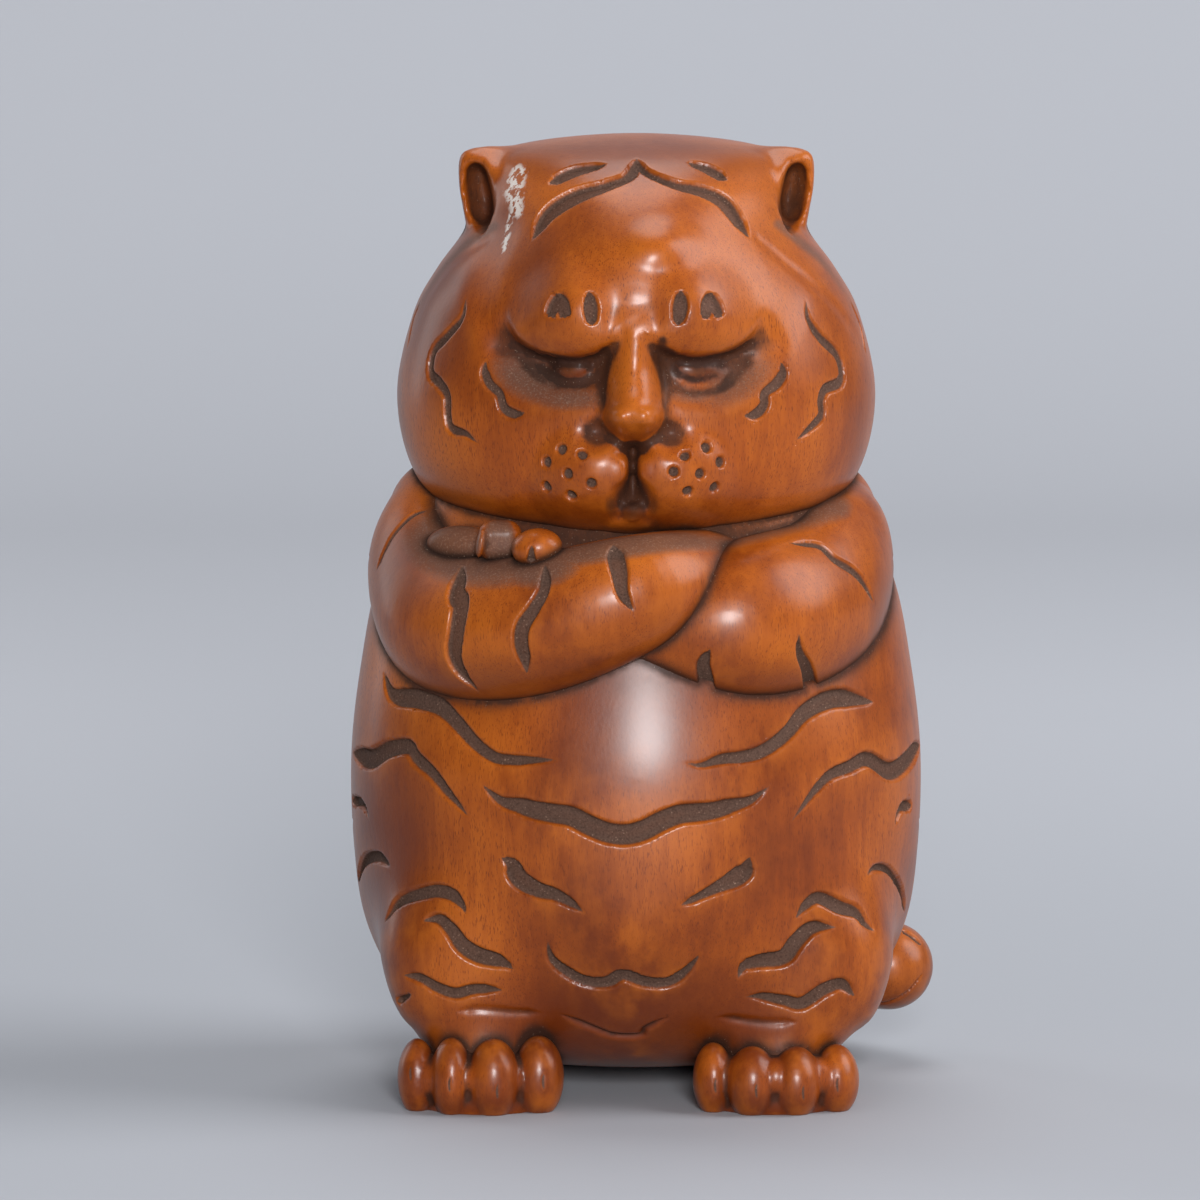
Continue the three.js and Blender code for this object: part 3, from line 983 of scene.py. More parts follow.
    def shade_near(self, others: Iterable["Skin"], reach: float = 0.7) -> None:
        """Marks painted shade on the skin where it comes close to others.

        Args:
            others: the other skins.
            reach: millimetres over which the mark fades.
        """
        points = self.points()
        near = np.full(len(points), Strokes.FAR)
        for other in others:
            tree, cloud = other.tree(), other.points()
            low, high = cloud.min(0) - 3 * reach, cloud.max(0) + 3 * reach
            for index in np.flatnonzero(np.all((points > low) & (points < high), axis=1)):
                distance = tree.find_nearest(points[index], 3 * reach)[3]
                if distance is not None:
                    near[index] = min(near[index], distance)
        self.mark(Mark.CREASE, np.exp(-near / reach))

    def finish(self, origin: Vector, material: bpy.types.Material) -> bpy.types.Object:
        """Turns the skin into a piece of the scene, in the frame's metres.

        Args:
            origin: where the figure's axis meets the ground, in metres.
            material: its finish.

        Returns:
            The piece.
        """
        for mark in Mark:
            values = self.marks.get(mark, np.full(len(self.mesh.vertices), mark.blank))
            layer = self.mesh.attributes.new(mark.value, "FLOAT", "POINT")
            layer.data.foreach_set("value", values.astype(np.float32))
        self.mesh.transform(Matrix.Translation(origin) @ Matrix.Scale(MILLIMETRE, 4))
        self.mesh.polygons.foreach_set("use_smooth", [True] * len(self.mesh.polygons))
        self.mesh.materials.clear()
        self.mesh.materials.append(material)
        piece = add_object(self.name, self.mesh)
        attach(piece, "root")
        LOG.info("%s: %d faces", self.name, len(self.mesh.polygons))
        return piece


class Wire:
    """A number or colour that runs between shader nodes, with the usual arithmetic."""

    def __init__(self, shader: "Shader", socket: bpy.types.NodeSocket) -> None:
        """Wraps an output socket."""
        self.shader = shader
        self.socket = socket

    def _math(self, operation: str, first: "Wire | float", second: "Wire | float") -> "Wire":
        """Adds one Math node."""
        node = self.shader.node("ShaderNodeMath", {"operation": operation}, {0: first, 1: second})
        return Wire(self.shader, node.outputs[0])

    def __add__(self, other: "Wire | float") -> "Wire":
        """Adds."""
        return self._math("ADD", self, other)

    def __radd__(self, other: float) -> "Wire":
        """Adds to a number."""
        return self._math("ADD", other, self)

    def __sub__(self, other: "Wire | float") -> "Wire":
        """Takes away."""
        return self._math("SUBTRACT", self, other)

    def __rsub__(self, other: float) -> "Wire":
        """Takes this from a number."""
        return self._math("SUBTRACT", other, self)

    def __mul__(self, other: "Wire | float") -> "Wire":
        """Multiplies."""
        return self._math("MULTIPLY", self, other)

    def __rmul__(self, other: float) -> "Wire":
        """Multiplies a number."""
        return self._math("MULTIPLY", other, self)

    def ramp(self, start: float, end: float) -> "Wire":
        """Rises smoothly from 0 at start to 1 at end."""
        node = self.shader.node(
            "ShaderNodeMapRange",
            {"interpolation_type": "SMOOTHSTEP"},
            {"Value": self, "From Min": start, "From Max": end},
        )
        return Wire(self.shader, node.outputs["Result"])


class Shader:
    """A material's node tree."""

    def __init__(self, name: str) -> None:
        """Starts an empty material of that name."""
        self.material = bpy.data.materials.new(name)
        self.material.use_nodes = True
        self.tree = self.material.node_tree
        self.tree.nodes.clear()

    def node(
        self,
        kind: str,
        settings: dict[str, object] | None = None,
        inputs: dict[str | int, object] | None = None,
    ) -> bpy.types.Node:
        """Adds a node.

        Args:
            kind: the node's type.
            settings: its own options, which are set first.
            inputs: values or wires for its sockets, by name or number.

        Returns:
            The node.
        """
        node = self.tree.nodes.new(kind)
        for name, value in (settings or {}).items():
            setattr(node, name, value)
        for name, value in (inputs or {}).items():
            if isinstance(value, Wire):
                self.tree.links.new(value.socket, node.inputs[name])
            else:
                node.inputs[name].default_value = value
        return node

    def place(self, stretch: tuple[float, float, float] = (1, 1, 1)) -> Wire:
        """Gives Object coordinates in millimetres, times a stretch."""
        where = Wire(self, self.node("ShaderNodeTexCoord").outputs["Object"])
        scale = tuple(share / MILLIMETRE for share in stretch)
        scaled = self.node("ShaderNodeVectorMath", {"operation": "MULTIPLY"}, {0: where, 1: scale})
        return Wire(self, scaled.outputs[0])

    def along(self, axis: str) -> Wire:
        """Gives one of the Object coordinates in millimetres."""
        parts = self.node("ShaderNodeSeparateXYZ", None, {0: self.place()})
        return Wire(self, parts.outputs[axis])

    def noise(self, size: Sequence[float], detail: float = 2, roughness: float = 0.5) -> Wire:
        """Gives a noise pattern from 0 to 1.

        Args:
            size: about how large its clouds are along X, Y and Z, in millimetres.
            detail: how many finer layers it has.
            roughness: how strong those are.

        Returns:
            The pattern.
        """
        node = self.node(
            "ShaderNodeTexNoise",
            None,
            {
                "Vector": self.place(tuple(1 / length for length in size)),
                "Scale": 1.0,
                "Detail": detail,
                "Roughness": roughness,
            },
        )
        return Wire(self, node.outputs["Fac"])

    def mark(self, mark: Mark) -> Wire:
        """Gives one of the skin's marks."""
        node = self.node("ShaderNodeAttribute", {"attribute_name": mark.value})
        return Wire(self, node.outputs["Fac"])

    def mix(self, share: Wire, first: Wire | Colour, second: Wire | Colour) -> Wire:
        """Mixes two colours."""
        node = self.node("ShaderNodeMix", {"data_type": "RGBA"}, {0: share, 6: first, 7: second})
        return Wire(self, node.outputs[2])

    def bump(self, height: Wire, depth: float) -> Wire:
        """Turns a height from 0 to 1 into a normal.

        Args:
            height: the pattern.
            depth: what 1 stands for, in millimetres.

        Returns:
            The normal.
        """
        node = self.node("ShaderNodeBump", None, {"Height": height, "Distance": depth * MILLIMETRE})
        return Wire(self, node.outputs["Normal"])

    def close(self, surface: bpy.types.Node) -> bpy.types.Material:
        """Ends the tree with a surface shader."""
        output = self.node("ShaderNodeOutputMaterial")
        self.tree.links.new(surface.outputs[0], output.inputs["Surface"])
        return self.material


def paint(red: int, green: int, blue: int) -> Colour:
    """Turns a colour on the screen, from 0 to 255, into the light values that a shader takes."""
    def light(value: int) -> float:
        """Turns one channel."""
        share = value / 255
        return share / 12.92 if share <= 0.04045 else ((share + 0.055) / 1.055) ** 2.4

    return light(red), light(green), light(blue), 1.0


@dataclass(frozen=True)
class StainedBoxwood:
    """Boxwood stained red-brown, worn by hands, polished, with patina in its cuts and hollows, and with
    painted shade and painted glints.

    Args:
        name: the material's name.
        middle: its usual red-brown colour.
        bright: where it has worn thin.
        dark_and_shade: where it lies thick, and painted shade.
        cut_floor: the matte floor of a gouge.
        grime_and_shade: old patina in hollows and cuts, and painted shade in creases and where pieces meet.
        dust: pale grains that lie in it.
        chip: painted glints where the polish has flaked.
        wear: how much high spots are worn, from 0 to 1.
        gloss: roughness of the wood under the polish.
        coat_roughness: roughness of the polish itself.
        pores: depth of the wood's grain and tool marks, in millimetres.
    """

    name: str
    middle: Colour = paint(166, 78, 14)
    bright: Colour = paint(196, 104, 26)
    dark_and_shade: Colour = paint(106, 42, 8)
    cut_floor: Colour = paint(94, 70, 58)
    grime_and_shade: Colour = paint(44, 27, 19)
    dust: Colour = paint(142, 114, 96)
    chip: Colour = paint(226, 214, 204)
    wear: float = 0.5
    gloss: float = 0.37
    coat_roughness: float = 0.25
    pores: float = 0.035

    def make(self) -> bpy.types.Material:
        """Builds the material."""
        shader = Shader(self.name)
        blotch = shader.noise((11, 11, 14), 2)
        mottle = shader.noise((2.2, 2.2, 3.2), 3, 0.6)
        streak = shader.noise((0.5, 0.5, 5), 3, 0.6)
        fleck = shader.noise((0.09, 0.09, 0.55), 1)
        speck = shader.noise((0.16, 0.16, 0.16), 1)
        grain = shader.noise((0.32, 0.32, 0.4), 2)

        # Lighter towards the top, from 10 to 52 mm up.
        rise = shader.along("Z").ramp(10, 52)
        thin = (blotch * 1.2 + mottle * 0.4 + streak * 0.3 + rise * 0.25 - 0.6).ramp(-0.05, 0.75)
        wood = shader.mix(thin, self.dark_and_shade, self.middle)
        pale = (blotch * 1.3 + streak * 0.5 + rise * 0.2 - 0.95).ramp(-0.05, 0.5)
        wood = shader.mix(pale * 0.7, wood, self.bright)
        wood = shader.mix(fleck.ramp(0.56, 0.7) * 0.7, wood, self.dark_and_shade)

        inside = shader.mark(Mark.CUT)
        floor = inside.ramp(-0.03, 0.07)
        lip = inside.ramp(-0.22, -0.04) * (1 - floor)
        hollow = shader.mark(Mark.HOLLOW)
        rough = shader.mark(Mark.ROUGH) * (speck * 0.5 + 0.65)
        # Painted shade in creases and where pieces meet.
        crease = shader.mark(Mark.CREASE)
        high = shader.mark(Mark.HIGH)
        # The deep mark: mostly painted shade on sides, undersides and between parts, with some darker wood.
        deep = shader.mark(Mark.DEEP) * (mottle + 0.5)
        # Painted glints: pale flecks on a worn patch.
        glints = shader.mark(Mark.CHIP) * shader.noise((0.6, 0.6, 0.9), 3, 0.7).ramp(0.46, 0.51)
        worn = (high * self.wear + lip * 0.2) * mottle.ramp(0.2, 0.75)
        # Patina in hollows, and painted shade from the crease mark.
        dirt_and_shade = (hollow * 0.8 + crease * 1.1) * (mottle * 0.9 + 0.55)
        dirt_and_shade = dirt_and_shade.ramp(0.12, 1.0)

        wood = shader.mix(deep.ramp(0, 1.2) * 0.8, wood, self.dark_and_shade)
        colour = shader.mix(worn.ramp(0, 1), wood, self.bright)
        matted = shader.mix(speck.ramp(0.45, 0.95), self.cut_floor, self.dust)
        colour = shader.mix(rough.ramp(0, 1) * 0.8, colour, matted)
        colour = shader.mix(dirt_and_shade * 0.9, colour, self.grime_and_shade)
        gouged = shader.mix(speck.ramp(-0.1, 0.7), self.grime_and_shade, self.cut_floor)
        colour = shader.mix(floor * 0.92, colour, gouged)
        dusty = speck.ramp(0.7, 0.76) * (floor * 0.8 + dirt_and_shade * 0.6).ramp(0, 1)
        colour = shader.mix(dusty, colour, self.dust)
        colour = shader.mix(glints, colour, self.chip)

        matte = (floor * 0.8 + dirt_and_shade * 0.7 + rough * 0.5).ramp(0, 1)
        roughness = self.gloss + mottle * 0.08 + matte * 0.38
        coat = (1 - matte) * 0.4
        relief = mottle * 0.35 + fleck * 0.08 + speck * (matte * 0.6 + 0.05)
        relief = relief + grain * (deep * 0.3 + 0.12)
        surface = shader.node(
            "ShaderNodeBsdfPrincipled",
            None,
            {
                "Base Color": colour,
                "Roughness": roughness,
                "Coat Weight": coat,
                "Coat Roughness": self.coat_roughness,
                "Coat IOR": 1.5,
                "Specular IOR Level": 0.25,
                "Normal": shader.bump(relief, self.pores),
            },
        )
        return shader.close(surface)


TORSO_RINGS = (
    (0, 0, -0.6, 0.57), (0.021, 0.38, -0.33, 0.83), (0.05, 0.56, 0.15, 0.91), (0.084, 0.69, 0.54, 0.955),
    (0.155, 0.83, 0.79, 0.995), (0.262, 0.95, 0.94, 1), (0.377, 0.992, 0.99, 1), (0.52, 1, 0.985, 0.965),
    (0.653, 0.965, 0.92, 0.9), (0.786, 0.9, 0.82, 0.82), (0.911, 0.76, 0.66, 0.68), (0.973, 0.5, 0.42, 0.46),
    (1, 0, 0, 0),
)
HEAD_RINGS = (
    (0, 0, 0.1, -0.1), (0.03, 0.47, 0.66, 0.46), (0.09, 0.8, 0.88, 0.7), (0.19, 0.945, 0.975, 0.88),
    (0.367, 1, 1, 1), (0.56, 0.93, 0.975, 1.01), (0.67, 0.83, 0.93, 0.98), (0.77, 0.71, 0.85, 0.92),
    (0.88, 0.655, 0.68, 0.77), (0.965, 0.54, 0.42, 0.5), (1, 0, 0, 0),
)
BACK_DEPTH = 21.5
TORSO = Stack(TORSO_RINGS, base=-1.2, height=56.2, width=47.94, front=20.5, back=BACK_DEPTH)
SKULL = Stack(HEAD_RINGS, base=46.2, height=33.8, width=40, front=18.5, back=16.5)


def figure_axis() -> Vector:
    """Finds where the figure's upright axis meets the ground, from the head's and the torso's boxes."""
    head_low, head_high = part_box("head")
    torso_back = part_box("torso")[1].y
    return Vector(((head_low.x + head_high.x) / 2, torso_back - BACK_DEPTH * MILLIMETRE, 0))


def both(cuts: Sequence[Cut]) -> tuple[Cut, ...]:
    """Adds each cut's mirror image."""
    return tuple(cuts) + tuple(cut.mirrored() for cut in cuts)


def flanks(cuts: Sequence[Cut]) -> list[tuple[Side, tuple[Cut, ...]]]:
    """Draws cuts on the left side, and their mirror images on the right."""
    return [(Side(90), tuple(cuts)), (Side(270), tuple(cut.mirrored() for cut in cuts))]


@dataclass
class Trunk:
    """Chest, belly, back, rump and haunches, in one skin.

    Args:
        leg_spacing: between the haunches' middles.
        leg_height: from the ground to the top of a haunch.
        leg_proud: how far a haunch stands out in front of the belly.
        haunch: its half thickness.
        knee_out: how far the knee lies outside the haunch's middle.
        knee_rise: how far it lies above that middle.
        ankle: the ankle's half thickness.
        ankle_height: its middle's height.
        girths: the thickness that is left at ankle, knee and hip once the skin is blended, as shares.
        foot_spacing: between the feet's middles.
        foot_offset: where the middle between the feet lies across.
        blends: places from hip, knee and knee where the skin is blended, as (out, back, up, radius).
        blend_passes: how often they are smoothed.
        voxel: the skin's grid.
        finest: its edge length near cuts.
    """

    leg_spacing: float = 26
    leg_height: float = 19
    leg_proud: float = 4.2
    haunch: float = 8.4
    knee_out: float = 0.9
    knee_rise: float = 2.5
    ankle: float = 5.4
    ankle_height: float = 5.2
    girths: tuple[float, float, float] = (0.87, 0.96, 0.9)
    foot_spacing: float = 24
    foot_offset: float = -0.6
    blends: tuple[Ball, ...] = ((0, -4, 5, 12), (-8, -4, 0, 10), (8, 0, 3, 9))
    blend_passes: int = 160
    voxel: float = 0.48
    finest: float = 0.25

    belly_stripes: tuple[Cut, ...] = (
        Cut(((384, 674), (392, 695), (416, 699), (439, 707), (455, 722), (474, 743), (493, 757),
             (512, 760), (531, 760), (558, 760)), (15, 19, 15, 11, 8)),
        Cut(((873, 702), (844, 698), (824, 702), (804, 714), (791, 730), (775, 744), (759, 753),
             (742, 757), (722, 759), (702, 765), (685, 763)), (15, 18, 14, 12, 7)),
        Cut(((351, 752), (369, 759), (388, 749), (407, 747), (416, 759), (432, 774), (447, 793),
             (459, 806), (470, 818)), (17, 20, 16, 12, 6)),
        Cut(((920, 745), (906, 763), (891, 771), (869, 759), (851, 767), (832, 775), (816, 791),
             (804, 806), (791, 822)), (17, 20, 16, 11, 6)),
        Cut(((482, 785), (500, 801), (518, 806), (536, 811), (554, 814), (571, 817), (589, 826),
             (607, 833), (625, 835), (643, 831), (661, 822), (679, 815), (696, 813), (714, 811),
             (732, 806), (750, 801), (759, 795), (770, 786)), (11, 18, 20, 20, 17, 10), depth=0.65),
        Cut(((502, 858), (511, 865), (518, 879), (536, 890), (554, 895), (571, 904), (584, 913)),
            (16, 20, 16, 11, 6)),
        Cut(((750, 858), (745, 872), (732, 881), (714, 890), (696, 899), (680, 906)), (16, 20, 13, 8, 6)),
        Cut(((547, 940), (552, 960), (570, 975), (589, 983), (608, 983), (623, 976), (646, 983),
             (669, 983), (687, 971), (701, 953)), (8, 12, 13, 12, 8)),
        Cut(((562, 1015), (589, 1027), (614, 1036), (640, 1036), (646, 1029), (669, 1017)),
            (9, 11, 8), 0.4, Carve.VALLEY),
        Cut(((352, 801), (362, 804), (369, 819)), (12, 9, 4)),
        Cut(((912, 806), (902, 808), (895, 825)), (12, 10, 4)),
    )
    leg_stripes: tuple[Cut, ...] = (
        Cut(((357, 896), (359, 874), (365, 860), (378, 857), (390, 866)), (7, 10, 11, 9)),
        Cut(((384, 923), (394, 906), (405, 898), (422, 893), (436, 891), (451, 895), (462, 906),
             (466, 914)), (6, 10, 12, 13, 10)),
        Cut(((422, 921), (438, 919), (451, 931), (462, 946), (478, 956), (499, 962), (514, 969)),
            (7, 12, 16, 16, 11), depth=0.65),
        Cut(((403, 975), (420, 979), (436, 988), (455, 994), (474, 990), (503, 990)), (7, 11, 11, 8)),
        Cut(((397, 1002), (404, 998), (411, 994)), (8, 6, 3)),
        Cut(((866, 877), (875, 868), (889, 870), (901, 889), (905, 912)), (5, 8, 9, 6)),
        Cut(((795, 919), (807, 905), (820, 898), (841, 907), (857, 912), (866, 923), (875, 932)),
            (6, 11, 14, 11, 6)),
        Cut(((836, 927), (813, 928), (797, 942), (784, 958), (761, 962), (745, 967), (738, 978)),
            (7, 14, 16, 15, 10), depth=0.65),
        Cut(((855, 997), (843, 985), (825, 990), (802, 1004), (784, 1001), (761, 997), (745, 997)),
            (9, 13, 13, 10, 6)),
        Cut(((455, 1012), (480, 1009), (512, 1012), (541, 1013)), (10, 14, 10), 0.2, Carve.VALLEY),
        Cut(((719, 1017), (761, 1022), (797, 1022)), (10, 14, 10), 0.2, Carve.VALLEY),
    )
    back_stripes: tuple[Cut, ...] = (
        Cut(((1.5, 41), (5, 42.6), (9, 41.2), (13, 42.8), (16.5, 41.4)), (1.1, 1.3, 1.1, 0.8)),
        Cut(((3.2, 34), (7, 35.6), (11, 34.2), (15, 36), (18.6, 35)), (0.9, 1.3, 1.1, 0.9)),
        Cut(((1.2, 27.4), (5.5, 29), (10, 27.6), (15, 29.8), (19.5, 28.6)), (1.1, 1.4, 1.2, 1.0)),
        Cut(((3.6, 20.8), (8, 22.4), (12, 21), (16.5, 22.8)), (0.9, 1.3, 1.1, 0.6)),
        Cut(((2, 14.6), (6.5, 16), (11, 14.8), (15.5, 16.4)), (1.1, 1.2, 0.7)),
    )
    flank_stripes: tuple[Cut, ...] = (
        Cut(((3.5, 28.6), (6.5, 29.6), (10, 28.2)), (1.2, 1.0, 0.5)),
        Cut(((-1.5, 22.4), (2.5, 21.2), (6.5, 22.6), (11, 21.4)), (0.7, 1.1, 1.2, 0.6)),
        Cut(((3, 35.2), (6.5, 34), (9.5, 35.2)), (0.8, 1.1, 0.6)),
        Cut(((1, 15.4), (4.5, 16.6), (8.5, 15.2), (12, 16.2)), (0.8, 1.1, 0.9, 0.5)),
        Cut(((-4, 10.6), (0, 9.4), (4, 10.6)), (0.6, 0.9, 0.5)),
    )
    stains_and_shade: tuple[StainAndShade, ...] = (
        (Mark.ROUGH, blots((640, 535, 270, 46, 0.5), (640, 470, 270, 60, 0.5), edge=0.6)),
        # Painted shade down the left side, low between the legs, on the chest and under the arms.
        (Mark.DEEP, blots(
            (392, 850, 64, 190, 1), (640, 1030, 280, 90, 1), (632, 720, 110, 100, 0.9),
            (470, 700, 100, 40, 0.6), (800, 740, 60, 70, 0.4), (600, 900, 120, 60, 0.3),
        )),
        # Painted shade under the chin and below the arms.
        (Mark.CREASE, blots((640, 538, 260, 26, 0.9), edge=0.6) + blots((645, 678, 120, 36, 0.4))),
    )

    def leg_stops(self, side: int) -> list[tuple[Vector, float, float]]:
        """Gives a leg's middle line.

        Args:
            side: 1 for the left leg, -1 for the right.

        Returns:
            Its stops at ankle, knee and hip, as Limb takes them.
        """
        height = self.leg_height / 2
        front = TORSO.front_at(side * self.leg_spacing / 2, height).y
        ankle = Vector((
            side * self.foot_spacing / 2 + self.foot_offset,
            front + self.ankle - 0.75 * self.leg_proud,
            self.ankle_height,
        ))
        knee = Vector((
            side * (self.leg_spacing / 2 + self.knee_out),
            front + self.haunch - self.leg_proud,
            height + self.knee_rise,
        ))
        reach = 0.8 * self.haunch
        hip = Vector((knee.x, front + reach - self.leg_proud / 2, self.leg_height - reach))
        thick = (self.ankle, self.haunch, self.haunch)
        halves = [share * half for share, half in zip(self.girths, thick)]
        return [(joint, half, half) for joint, half in zip((ankle, knee, hip), halves)]

    def build(self) -> Skin:
        """Builds the smooth form."""
        skin = Skin("trunk")
        legs = [Limb(tuple(self.leg_stops(side)), upright=(0, 1, 0)) for side in (-1, 1)]
        skin.fuse([TORSO.build(144, 96)] + [leg.build() for leg in legs], self.voxel)
        skin.relax(3)
        spots = []
        for side in (-1, 1):
            knee, hip = (stop[0] for stop in self.leg_stops(side)[1:])
            for joint, (out, back, up, radius) in zip((hip, knee, knee), self.blends):
                spots.append((joint + Vector((side * out, back, up)), radius))
        skin.soften(spots, self.blend_passes)
        skin.flatten()
        return skin

    def carve(self, skin: Skin) -> None:
        """Cuts the stripes, and paints rough patches, darker wood and painted shade on the skin.

        Args:
            skin: the smooth form.
        """
        skin.carve(
            [
                (PICTURE, self.belly_stripes + self.leg_stripes),
                (Side(180), both(self.back_stripes)),
                *flanks(self.flank_stripes),
            ],
            self.finest,
        )
        skin.flatten()
        skin.stain_and_shade(self.stains_and_shade)


@dataclass
class Head:
    """Skull, face and ears, in one skin.

    The face is drawn in the photograph's pixels, the other marks in the millimetres of their views. The
    brows overhang the eyes, whose forms fade out over brow_edge. The ears are balls round which a skin is
    wrapped, on the figure's right.
    """

    voxel: float = 0.33
    finest: float = 0.2
    forehead: tuple[Swell, ...] = (
        Swell((636, 272), (142, 100), 1.9, edge=1.2, upward=125),
        Swell((664, 244), (50, 32), 0.75),
    )
    brows: tuple[Swell, ...] = (
        Swell((564, 317), (60, 43), 1.7, turn=8, edge=0.55, upward=66),
        Swell((702, 316), (62, 43), 1.7, turn=-8, edge=0.55, upward=66),
    )
    brow_edge: float = 0.16
    sockets: tuple[Swell, ...] = (
        Swell((556, 352), (86, 66), -2.3, turn=6),
        Swell((712, 354), (82, 64), -2.2, turn=-8),
    )
    eyeballs: tuple[Swell, ...] = (
        Swell((571, 367), (20, 12), 1.5, edge=0.6),
        Swell((700, 368), (27, 14), 1.5, edge=0.6),
    )
    lids: tuple[Fold, ...] = (
        Fold(((531, 356), (541, 371), (556, 381), (577, 384), (597, 374)), (7, 8, 7), (0.2, 0.35, 0.2), 1),
        Fold(((515, 364), (533, 383), (556, 394), (582, 395), (602, 384)), (7, 9, 7), (0.1, 0.2, 0.1), 1),
        Fold(((668, 366), (677, 378), (693, 386), (711, 384), (725, 375), (733, 362)),
             (6, 8, 6), (0.3, 0.7, 0.4), 1),
    )
    muzzle: tuple[Swell, ...] = (
        Swell((590, 482), (62, 58), 1.7, edge=1.3),
        Swell((677, 482), (64, 58), 1.7, edge=1.3),
    )
    nose: tuple[Fold | Swell, ...] = (
        Fold(((634, 305), (633, 340), (633, 375), (634, 412)), (36, 44, 57, 60), (0.1, 1.2, 2.2, 2.9), 0.8),
        Swell((634, 422), (30, 19), 0.6, edge=0.5),
        Swell((614, 419), (13, 14), 0.8, edge=0.6),
        Swell((651, 420), (13, 14), 0.8, edge=0.6),
    )
    recesses: tuple[Swell, ...] = (
        Swell((597, 436), (28, 22), -0.8, turn=-30),
        Swell((671, 438), (28, 22), -0.8, turn=30),
        Swell((634, 452), (22, 9), -0.9, edge=1),
    )
    philtrum: tuple[Fold, ...] = (
        Fold(((633, 448), (633, 466), (633, 492)), (22, 20, 24), (-0.8, -0.9, -0.9), 1.4),
        Fold(((633, 448), (633, 466), (633, 482)), (10, 9, 10), (-1.0, -1.1, -1.1), 0.8),
    )
    mouth: Fold = Fold(((633, 474), (633, 488), (633, 499)), (8, 26, 46), (-1.5, -1.6, -1.2), 0.8)
    lip: Swell = Swell((633, 512), (12, 10), 1.6, edge=0.6)
    chin: Swell = Swell((629, 527), (26, 10), 1.3, edge=0.7)
    valleys: tuple[Fold, ...] = (
        Fold(((504, 222), (480, 290), (500, 345)), (44, 48, 40), (-0.2, -0.4, -0.3), 2),
        Fold(((768, 222), (794, 290), (774, 345)), (44, 48, 40), (-0.1, -0.2, -0.2), 2),
        Fold(((490, 238), (468, 252), (444, 270), (424, 300), (410, 335)),
             (8, 10, 8), (-0.2, -0.25, -0.1), 1),
        Fold(((757, 238), (782, 260), (808, 281), (836, 307), (860, 341)),
             (8, 10, 8), (-0.2, -0.25, -0.1), 1),
    )
    brow_marks: tuple[Cut, ...] = (
        Cut(((637, 158), (629, 175), (606, 185), (574, 196), (547, 214), (532, 239)),
            (6, 13, 18, 24, 22, 13), 0.6, taper=0.1),
        Cut(((636, 158), (646, 171), (676, 184), (702, 190), (724, 201), (740, 222), (749, 237)),
            (6, 11, 15, 20, 21, 13), 0.6, taper=0.1),
        Cut(((549, 183), (574, 171), (606, 164)), (16, 18, 9), 0.45),
        Cut(((688, 162), (707, 168), (727, 179)), (9, 16, 15), 0.45),
        Cut(((548, 317), (552, 304), (556, 293)), (14, 15, 8), 0.5, taper=0.08),
        Cut(((564, 318), (561, 304), (557, 293)), (14, 15, 8), 0.5, taper=0.08),
        Cut(((589, 291), (591, 307), (592, 326)), (8, 15, 9), 0.5, taper=0.14),
        Cut(((681, 290), (680, 307), (678, 326)), (9, 16, 9), 0.5, taper=0.14),
        Cut(((707, 319), (709, 305), (712, 292)), (12, 15, 8), 0.5, taper=0.08),
        Cut(((722, 317), (717, 305), (713, 293)), (12, 15, 8), 0.5, taper=0.08),
    )
    cheek_marks: tuple[Cut, ...] = (
        Cut(((486, 361), (484, 371), (488, 383), (498, 393), (503, 408), (513, 414), (525, 413)),
            (8, 10, 9, 10, 8), 0.4),
        Cut(((781, 362), (784, 373), (777, 384), (766, 393), (765, 405), (757, 414), (744, 416)),
            (9, 12, 10, 11, 8), 0.4),
        Cut(((466, 298), (461, 318), (446, 336), (433, 351), (430, 373), (438, 383), (446, 396),
             (447, 416), (451, 429), (465, 434), (478, 443)), (6, 10, 11, 10, 8), 0.4),
        Cut(((806, 300), (809, 318), (820, 336), (836, 352), (842, 368), (841, 382), (827, 389),
             (822, 400), (822, 416), (809, 430), (795, 441)), (7, 11, 11, 10, 7), 0.4),
        Cut(((421, 300), (413, 320), (407, 350)), (4, 5, 3), 0.35),
        Cut(((850, 300), (860, 325), (866, 355)), (4, 5, 3), 0.35),
    )
    whiskers: tuple[tuple[int, int], ...] = (
        (561, 449), (546, 462), (582, 454), (567, 474), (546, 487), (591, 484), (571, 496),
        (707, 447), (685, 455), (721, 462), (674, 472), (701, 474), (715, 488), (688, 492),
    )
    whisker_size: float = 10.5
    whisker_depth: float = 0.5
    nape_marks: tuple[Cut, ...] = (
        Cut(((2.2, 73.5), (5.5, 75), (9, 73.8)), (0.8, 1.2, 0.6)),
        Cut(((1.5, 67.5), (6, 69.4), (10.5, 68), (14, 69)), (0.9, 1.3, 1.1, 0.6)),
        Cut(((2.6, 61.5), (7.5, 63.2), (12.5, 61.8), (16.5, 63)), (0.9, 1.4, 1.1, 0.6)),
        Cut(((1.5, 55.5), (6.5, 57.2), (11.5, 55.8), (16, 57)), (0.9, 1.3, 1.1, 0.6)),
    )
    temple_marks: tuple[Cut, ...] = (
        Cut(((0.5, 69), (2.6, 65), (1, 61), (3, 57), (1.6, 53.5)), (0.5, 0.9, 1.0, 0.9, 0.5), 0.4),
        Cut(((6.5, 67), (8.6, 63), (7.2, 59.5), (8.6, 56)), (0.5, 0.9, 1.0, 0.5), 0.4),
    )
    crown_marks: tuple[Cut, ...] = (
        Cut(((2.4, 1), (6, 2.6), (9.6, 1.2)), (0.7, 1.1, 0.5), 0.4),
        Cut(((2.2, 7), (6, 8.8), (9.8, 7.4)), (0.7, 1.2, 0.5), 0.4),
    )
